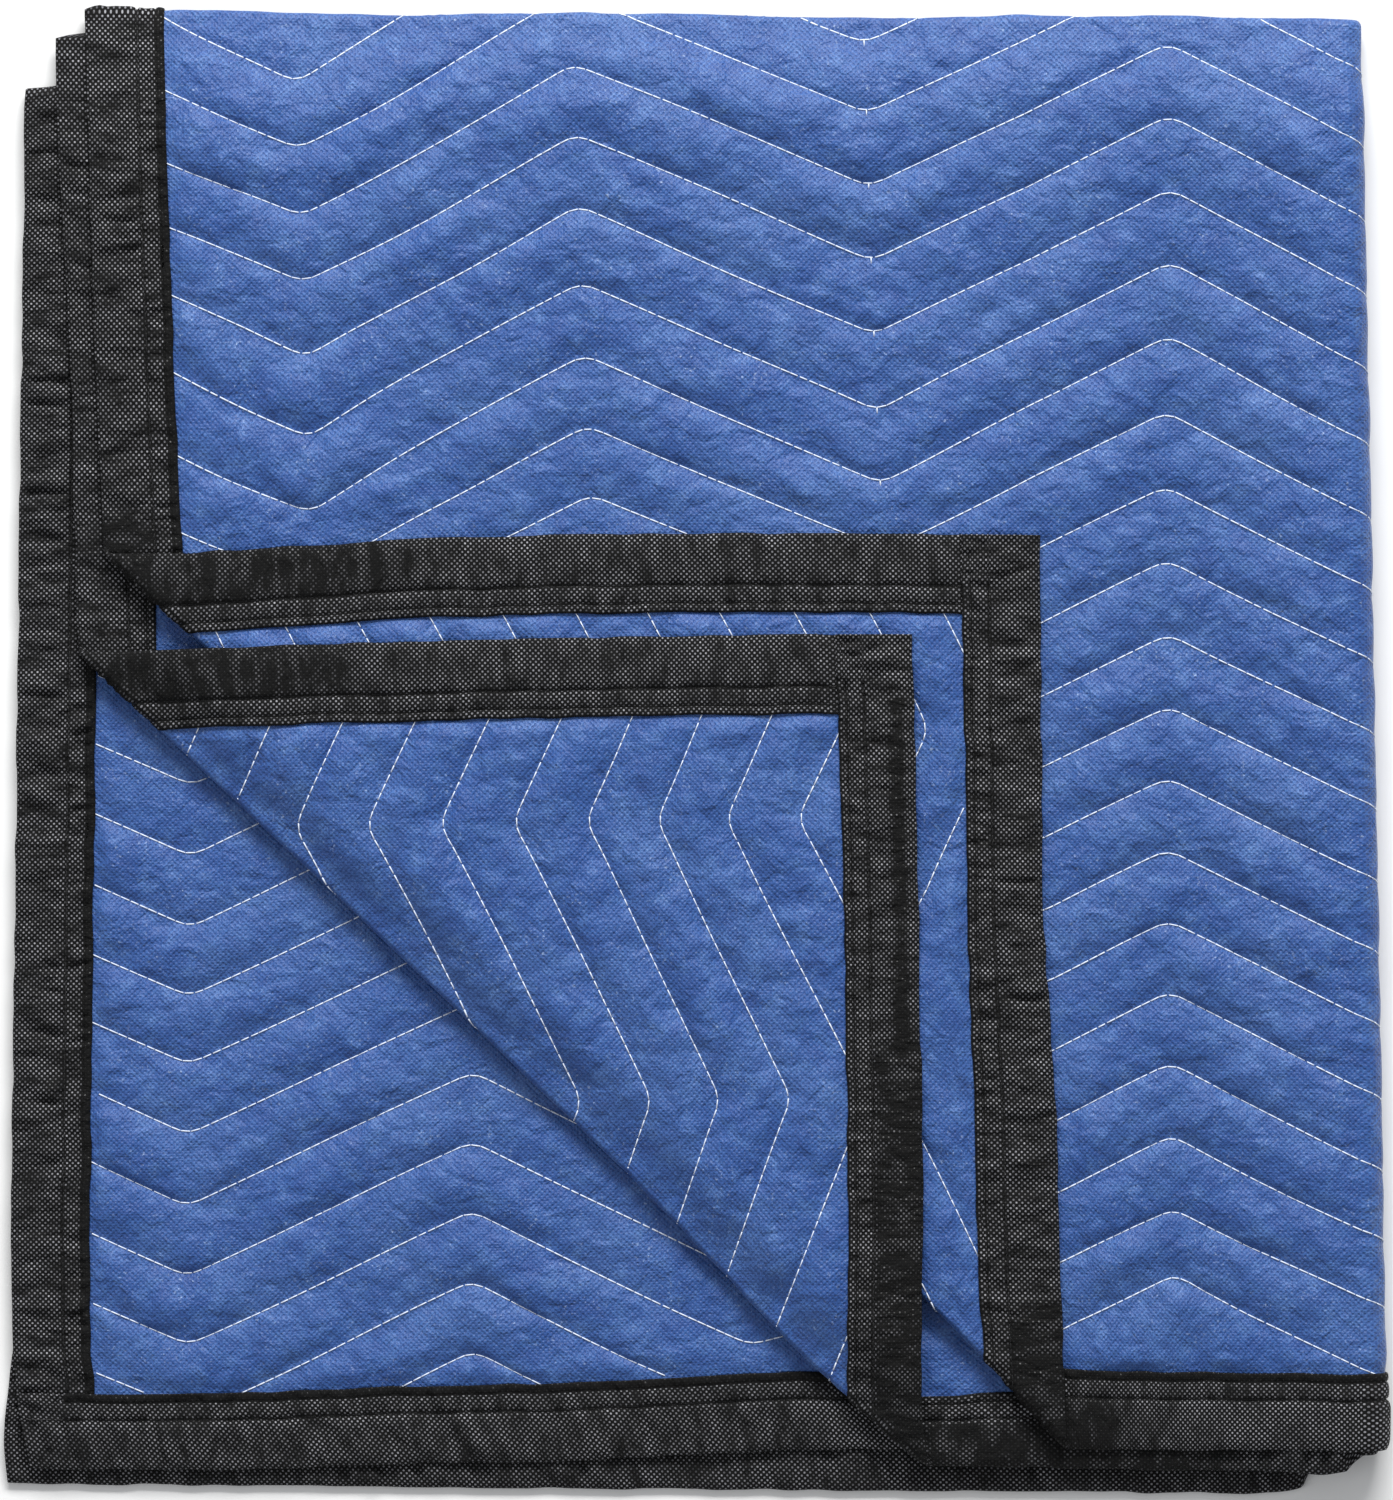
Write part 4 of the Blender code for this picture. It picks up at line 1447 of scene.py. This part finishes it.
    def heights(self, along: Array, depth: Array, height: Array) -> Array:
        """Heights off the cloth with the gathers, the laps and the mitre creases.

        Args:
            along: Distances along the edge.
            depth: Depths in from it.
            height: Plain heights of the section, which also give the side.

        Returns:
            The finished heights.
        """
        u, v = self.lay(along, depth)
        side = np.sign(height)
        faces_up = (self.plan.upward(u, v) * side + 1) / 2
        share = self.under_share + (1 - self.under_share) * faces_up
        fullness = self.under_gathers + (1 - self.under_gathers) * faces_up
        lift = self.gathers.lift(along, depth) * fullness
        # The gathers flatten in the stretches of painted shade and highlight.
        lift = lift * np.maximum(1 - self.shaded_stretch_calm * np.abs(self.painted_light_and_shade(along, depth)), 0)
        from_tip = self.from_tip(along)
        if self.lapping:
            over = smoothstep(*self.lap[:2], from_tip) * smoothstep(*self.lap[2:], depth)
            lift = lift + self.lap_rise * over * faces_up
            crease = np.exp(-(((from_tip - depth) / self.mitre_width) ** 2))
            starts, stops = self.mitre_fades
            crease = crease * smoothstep(0.0, starts, depth)
            crease = crease * smoothstep(self.mitre_reach, self.mitre_reach - stops, depth)
            near, middle, bend = self.arch
            arch = (from_tip - near - bend * (depth - middle) ** 2) / self.arch_width
            arch = np.exp(-arch * arch) * smoothstep(*self.arch_fade, depth)
            lift = lift - (self.mitre_depth * crease + self.arch_depth * arch) * faces_up
            low, high = self.filled
            filled = self.corner_share(along) * (depth > low) * (depth < high)
            height = height + side * np.maximum(self.corner_half - np.abs(height), 0.0) * filled
        else:
            tuck = smoothstep(0.0, self.end_taper, from_tip)
            share = share * (self.end_share + (1 - self.end_share) * tuck)
            lift = lift * tuck
        covered = np.abs(height) > self.least_half
        return side * np.maximum(
            np.abs(height) * share + np.where(covered, lift, 0.0),
            np.minimum(self.least_half, np.abs(height)),
        )

    def build(self, material: bpy.types.Material) -> bpy.types.Object:
        """Model the binding and lay it in its folds.

        Args:
            material: The binding's finish.

        Returns:
            The finished piece.
        """
        ring = self.ring()
        count = math.ceil((self.end - self.start) / self.step)
        stations = np.linspace(self.start, self.end, count + 1)
        along, depth = np.meshgrid(stations, ring[:, 0], indexing="ij")
        height = np.broadcast_to(ring[:, 1], along.shape)
        run = np.broadcast_to(ring[:, 2], along.shape)
        along, depth, height, run = (part.ravel() for part in (along, depth, height, run))
        height = self.heights(along, depth, height)
        inwards = depth / self.width
        wave = self.gathers.wave(along, 0) * (1 - inwards) + self.gathers.wave(along, 1) * inwards
        u, v = self.lay(along, depth + wave)
        points = self.plan.place(u, v, height)
        around = len(ring)
        faces = [
            [near, near + 1, near + around + 1, near + around]
            for row in range(count)
            for near in range(row * around, (row + 1) * around - 1)
        ]
        for row in (0, count):
            cap = [row * around + column for column in range(around)]
            faces.append(cap if row else cap[::-1])
        made = mesh_object(self.name, points, faces, material, np.column_stack((along, run)))
        # Lost dots, painted shade and painted highlight go to the finish as one point attribute.
        lost = self.dots_dimmed(along, depth, height)
        made.data.attributes.new("seam_loss_and_painted_shade", "FLOAT", "POINT").data.foreach_set("value", lost)
        shape = bmesh.new()
        shape.from_mesh(made.data)
        bmesh.ops.recalc_face_normals(shape, faces=shape.faces[:])
        shape.to_mesh(made.data)
        shape.free()
        return made

    def stitches(self, name: str, material: bpy.types.Material) -> bpy.types.Object:
        """Sew along the binding's seam, on the side that faces up.

        Args:
            name: The thread's name.
            material: Its finish.

        Returns:
            The joined stitches.
        """
        run = StitchRun(self.plan, name, stitch=0.0045, gap=0.0012, width=0.0008, height=0.00035)
        stations = np.linspace(self.start + self.bare_tip, self.end - self.bare_tip, self.seam_points)
        path = np.column_stack(self.lay(stations, np.full_like(stations, self.seam_depth)))
        near, far = run.along_path(path)
        middle = (near + far) / 2
        along = middle[:, 1] if abs(path[0, 0] - path[-1, 0]) < 0.001 else middle[:, 0]
        side = np.where(self.plan.upward(middle[:, 0], middle[:, 1]) >= 0, 1.0, -1.0)
        trough = np.full_like(along, min(height for depth, height in self.section[3:-1]))
        level = np.abs(self.heights(along, np.full_like(along, self.seam_depth), trough * side))
        return run.build(near, far, level + run.root, side, material)


@dataclass(frozen=True)
class StitchRun:
    """Stitches laid end to end along paths on the open sheet, as one joined piece."""

    plan: FoldPlan
    name: str
    stitch: float = 0.0072
    gap: float = 0.0016
    width: float = 0.0011
    height: float = 0.0008
    tip: float = 0.05
    root: float = 0.0002

    def along_path(self, path: Array) -> tuple[Array, Array]:
        """Starts and ends of the stitches along one path.

        Args:
            path: The path's points, as u and v.

        Returns:
            Start points and end points of the stitches.
        """
        run = np.concatenate(([0.0], np.cumsum(np.hypot(*np.diff(path, axis=0).T))))
        starts = np.arange(0.0, run[-1] - self.stitch, self.stitch)
        random = np.random.default_rng(len(starts) + round(1e4 * abs(path[0, 1])))
        ends = starts + self.stitch - self.gap * random.uniform(0.0, 1.0, len(starts)) ** 3
        near = np.column_stack([np.interp(starts, run, path[:, axis]) for axis in (0, 1)])
        far = np.column_stack([np.interp(ends, run, path[:, axis]) for axis in (0, 1)])
        return near, far

    def build(
        self, near: Array, far: Array, level: Array, side: Array, material: bpy.types.Material
    ) -> bpy.types.Object:
        """Model stitches as small spindles that dip into the cloth at both ends.

        Args:
            near: Start points, as u and v.
            far: End points.
            level: Height of the cloth's surface at each stitch.
            side: For each stitch, 1 on the front of the cloth and -1 on its back.
            material: The thread's finish.

        Returns:
            The joined stitches.
        """
        way = (far - near) / np.linalg.norm(far - near, axis=1, keepdims=True)
        across = np.column_stack((-way[:, 1], way[:, 0])) * self.width / 2
        low, high = level + self.root, level + self.height
        first, last = near + (far - near) * self.tip, far - (far - near) * self.tip
        corners = (
            (near, low),
            (first + across, low),
            (first, high),
            (first - across, low),
            (last + across, low),
            (last, high),
            (last - across, low),
            (far, low),
        )
        flat = np.stack([place for place, _ in corners], axis=1).reshape(-1, 2)
        rise = np.stack([heights for _, heights in corners], axis=1).reshape(-1)
        points = self.plan.place(flat[:, 0], flat[:, 1], rise * np.repeat(side, len(corners)))
        pattern = (
            (0, 1, 2), (0, 2, 3), (0, 3, 1), (1, 4, 5, 2), (2, 5, 6, 3), (3, 6, 4, 1),
            (7, 5, 4), (7, 6, 5), (7, 4, 6),
        )
        faces = [
            [number * len(corners) + index for index in (face if facing < 0 else face[::-1])]
            for number, facing in enumerate(side)
            for face in pattern
        ]
        return mesh_object(self.name, points, faces, material)


@dataclass(frozen=True)
class QuiltingThread:
    """White thread of the quilting, on one side of the cloth."""

    plan: FoldPlan
    quilting: Quilting
    cover: QuiltedCover
    name: str
    margin: float = 0.0548
    under: float = 0.075
    spare_rows: int = 4
    path_points: int = 900
    tail: float = 0.0042
    tail_knots: Sequence[float] = (0.552,)

    def build(self, material: bpy.types.Material) -> bpy.types.Object:
        """Sew every row wherever the cover can be seen.

        Args:
            material: The thread's finish.

        Returns:
            The stitches of all rows, joined.
        """
        plan, quilting = self.plan, self.quilting
        run = StitchRun(plan, self.name)
        u = np.linspace(self.margin, plan.width - self.margin, self.path_points)
        nears, fars = [], []
        last_row = math.ceil(plan.length / quilting.pitch) + self.spare_rows
        for row in range(quilting.first_row, last_row):
            path = np.column_stack((u, quilting.row_v(np.full_like(u, row), u)))
            near, far = run.along_path(path)
            keep = np.minimum(*plan.from_ends(near[:, 0], near[:, 1])) > self.margin
            keep &= self.sewn(near[:, 0], near[:, 1])
            nears.append(near[keep])
            fars.append(far[keep])
            tail_near, tail_far = self.tails(row)
            nears.append(tail_near)
            fars.append(tail_far)
        near, far = np.concatenate(nears), np.concatenate(fars)
        middle = (near + far) / 2
        level = quilting.half(middle[:, 0], middle[:, 1], self.cover.side)
        side = np.full(len(level), self.cover.side.value)
        return run.build(near, far, level, side, material)

    def tails(self, row: int) -> tuple[Array, Array]:
        """Short tails of thread that stand off a row where the sewing machine turned."""
        knots = np.array(self.tail_knots if self.cover.side is Side.FRONT else ())
        near = np.column_stack((knots, self.quilting.row_v(np.full_like(knots, row), knots)))
        far = near - np.array([0.0, self.tail])
        keep = (near[:, 1] > self.margin) & (near[:, 1] < self.plan.end_fold)
        return near[keep], far[keep]

    def sewn(self, u: Array, v: Array) -> Array:
        """Whether stitches are modelled at places of the sheet: on all that can be seen."""
        shown = self.plan.open_share(self.cover.side, u, v, margin=self.under) > 0
        if self.cover.side is Side.FRONT:
            return shown | ((u > self.plan.side_fold) & (v < self.plan.end_fold))
        return shown


@dataclass(frozen=True)
class Studio:
    """Pale floor, soft lights and the camera straight above."""

    floor_size: float = 6.0
    frame_height: float = 1.0628
    distance: float = 6.0
    sensor: float = 36.0
    blanket_top: float = 0.03
    centre: tuple[float, float] = (0.0, -0.0005)

    def build(self) -> None:
        """Set up the floor, the lights and the camera."""
        bpy.ops.object.select_all(action="DESELECT")
        bpy.ops.mesh.primitive_plane_add(size=self.floor_size)
        floor = bpy.context.object
        floor.name = "paper_floor"
        floor.data.materials.append(PaperFloor().material())
        self.light("key_softbox", (0.60, 6.1, 4.0), (5.0, 2.2), 790.0)
        self.light("fill_softbox", (-4.4, -1.2, 4.8), (4.0, 4.0), 48.0)
        world = bpy.data.worlds.new("studio")
        world.use_nodes = True
        world.node_tree.nodes["Background"].inputs["Color"].default_value = linear("#f2f4f8")
        world.node_tree.nodes["Background"].inputs["Strength"].default_value = 0.42
        bpy.context.scene.world = world
        bpy.context.scene.view_settings.view_transform = "Standard"
        self.camera()

    def light(
        self,
        name: str,
        place: tuple[float, float, float],
        size: tuple[float, float],
        power: float,
    ) -> None:
        """Add a softbox that faces the blanket.

        Args:
            name: The light's name.
            place: Where it stands.
            size: Its width and its height.
            power: Its power in watts.
        """
        lamp = bpy.data.lights.new(name, "AREA")
        lamp.shape = "RECTANGLE"
        lamp.size, lamp.size_y = size
        lamp.energy = power
        made = bpy.data.objects.new(name, lamp)
        made.location = place
        made.rotation_euler = (-Vector(place)).to_track_quat("-Z", "Y").to_euler()
        bpy.context.scene.collection.objects.link(made)

    def camera(self) -> None:
        """Hang the camera over the blanket, with the frame's long side upright."""
        lens = bpy.data.cameras.new("camera")
        lens.sensor_width = self.sensor
        lens.lens = self.sensor * (self.distance - self.blanket_top) / self.frame_height
        made = bpy.data.objects.new("camera", lens)
        made.location = (*self.centre, self.distance)
        bpy.context.scene.collection.objects.link(made)
        bpy.context.scene.camera = made


def edge_bindings(plan: FoldPlan) -> list[Binding]:
    """The four bindings. Those of the end edges run full width, over the ends of the other two."""
    # The side bindings stop this far from the end edges, which is less under a narrow binding.
    lapped = 0.0525
    lapped_narrow = 0.0455
    wide = plan.width
    return [
        Binding(
            plan,
            "side_binding_top_cloth",
            lapped,
            plan.length - lapped_narrow,
            lambda along, depth: (depth, along),
            Gathers(
                seed=210,
                calm=((0.00, 0.60, 0.45), (1.46, 2.04, 0.35)),
                tucks=tuck_rows(
                    (0.145, -0.67, 0.0035, -0.0018), (0.205, -0.67, 0.0035, -0.0015),
                    (0.250, -0.60, 0.0043, -0.0012), (0.415, -0.50, 0.0043, -0.0014),
                    (0.465, -0.40, 0.0050, 0.0012), (0.907, 0.00, 0.0057, 0.0024),
                    (0.916, 0.00, 0.0035, -0.0016), (0.772, 0.05, 0.0057, 0.0022),
                    (0.781, 0.05, 0.0035, -0.0015), (0.662, 0.00, 0.0057, 0.0022),
                    (0.849, 0.10, 0.0043, -0.0016), (0.732, -0.10, 0.0043, -0.0014),
                    (1.963, -0.30, 0.0035, -0.0022), (2.007, -0.40, 0.0035, -0.0020),
                    (1.925, -0.40, 0.0043, -0.0014), (1.828, 0.50, 0.0043, -0.0013),
                    (1.640, 0.20, 0.0050, -0.0012), (1.697, 0.40, 0.0043, 0.0011),
                ),
            ),
            False,
            # Stretches of painted shade on the dots.
            shaded_stretches=((0.42, 0.70, 0.0, 0.0368, 0.42), (1.42, 1.66, 0.0, 0.0368, 0.45)),
        ),
        Binding(
            plan,
            "side_binding_base_cloth",
            lapped,
            plan.length - lapped,
            lambda along, depth: (wide - depth, along),
            Gathers(
                seed=220,
                strength=1.3,
                tucks=tuck_rows(
                    (1.429, -0.50, 0.0043, -0.0022), (1.491, -0.60, 0.0050, -0.0026),
                    (1.506, -0.30, 0.0057, 0.0024), (1.580, 0.20, 0.0050, -0.0018),
                    (1.655, -0.20, 0.0043, -0.0020), (1.752, 0.30, 0.0050, 0.0020),
                    (1.828, -0.40, 0.0043, -0.0022), (1.910, -0.30, 0.0043, -0.0024),
                    (1.921, 0.00, 0.0050, 0.0024), (1.950, 0.00, 0.0043, -0.0022),
                    (1.970, 0.20, 0.0043, -0.0018),
                ),
            ),
            False,
        ),
        Binding(
            plan,
            "end_binding_outer_cloth",
            0.0,
            wide,
            lambda along, depth: (along, depth),
            Gathers(
                seed=230,
                calm=((0.72, 1.10, 0.5),),
                tucks=tuck_rows(
                    (0.078, 0.00, 0.0070, -0.0024), (0.0985, 0.05, 0.0035, -0.0024),
                    (0.120, 0.20, 0.0035, -0.0018), (0.168, -0.20, 0.0043, -0.0018),
                    (0.391, 0.10, 0.0035, -0.0020), (0.416, -0.10, 0.0035, -0.0022),
                    (0.437, 0.20, 0.0043, 0.0018), (0.460, 0.00, 0.0060, -0.0026),
                    (0.477, 0.10, 0.0043, -0.0024), (0.494, -0.20, 0.0050, -0.0024),
                    (0.516, 0.00, 0.0035, 0.0018), (0.543, 0.20, 0.0035, -0.0020),
                    (0.572, 0.00, 0.0043, -0.0022),
                ),
            ),
            True,
            plan.end_hems[Layer.OUTER],
            # Stretches of painted shade on the dots, and one of painted highlight with a share below 0.
            ((0.52, 0.71, 0.0, 0.0368, 0.60), (0.72, 0.95, 0.0, 0.0345, -0.30)),
        ),
        Binding(
            plan,
            "end_binding_inner_cloth",
            0.0,
            wide,
            lambda along, depth: (along, plan.length - depth),
            Gathers(
                seed=240,
                strength=1.1,
                calm=((0.05, 0.50, 0.6), (1.05, 1.50, 0.6)),
                tucks=tuck_rows(
                    (0.040, 0.00, 0.0028, -0.0016), (0.072, 0.10, 0.0028, -0.0014),
                    (0.266, 0.00, 0.0035, -0.0014), (1.807, 0.30, 0.0043, -0.0016),
                    (1.761, 0.50, 0.0043, 0.0016), (1.715, 0.60, 0.0035, -0.0016),
                    (1.626, 0.80, 0.0043, -0.0018), (1.541, 0.50, 0.0043, 0.0014),
                    (1.477, 0.30, 0.0043, -0.0013), (1.403, 0.80, 0.0043, -0.0017),
                ),
            ),
            True,
            plan.end_hems[Layer.INNER],
            # Stretches of painted shade on the dots, and one of painted highlight with a share below 0.
            (
                (0.02, 0.31, 0.007, 0.021, 0.75), (0.27, 0.80, 0.0, 0.0345, 0.50),
                (1.10, 1.32, 0.0, 0.0345, -0.30),
            ),
        ),
    ]


def main() -> None:
    """Build the blanket's pieces, the floor, the lights and the camera."""
    logging.basicConfig(level=logging.INFO, format="%(name)s: %(message)s")
    plan = FoldPlan()
    quilting = Quilting(plan)
    cover_cloth = SpunbondCover().material()
    white = PolyesterThread("spun_polyester_white", "#f0f6ff", "#d4e0f4").material()
    for side in Side:
        cover = QuiltedCover(plan, quilting, side, "cover_" + side.name.lower())
        cloth = cover.build(cover_cloth)
        thread = QuiltingThread(plan, quilting, cover, "thread_" + side.name.lower()).build(white)
        for piece in (cloth, thread):
            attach(piece, BODY)
            LOG.info("%s: %d faces", piece.name, len(piece.data.polygons))
        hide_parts("quilted_panel")

    binding_cloth = SpunbondBinding().material()
    black = PolyesterThread("spun_polyester_black", "#202022", "#131314").material()
    for binding in edge_bindings(plan):
        strip = binding.build(binding_cloth)
        seam = binding.stitches(binding.name.replace("_cloth", "_thread"), black)
        for piece in (strip, seam):
            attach(piece, BODY)
            LOG.info("%s: %d faces", piece.name, len(piece.data.polygons))
        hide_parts(binding.name.removesuffix("_cloth"))
    Studio().build()


if __name__ == "__main__":
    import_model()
    main()
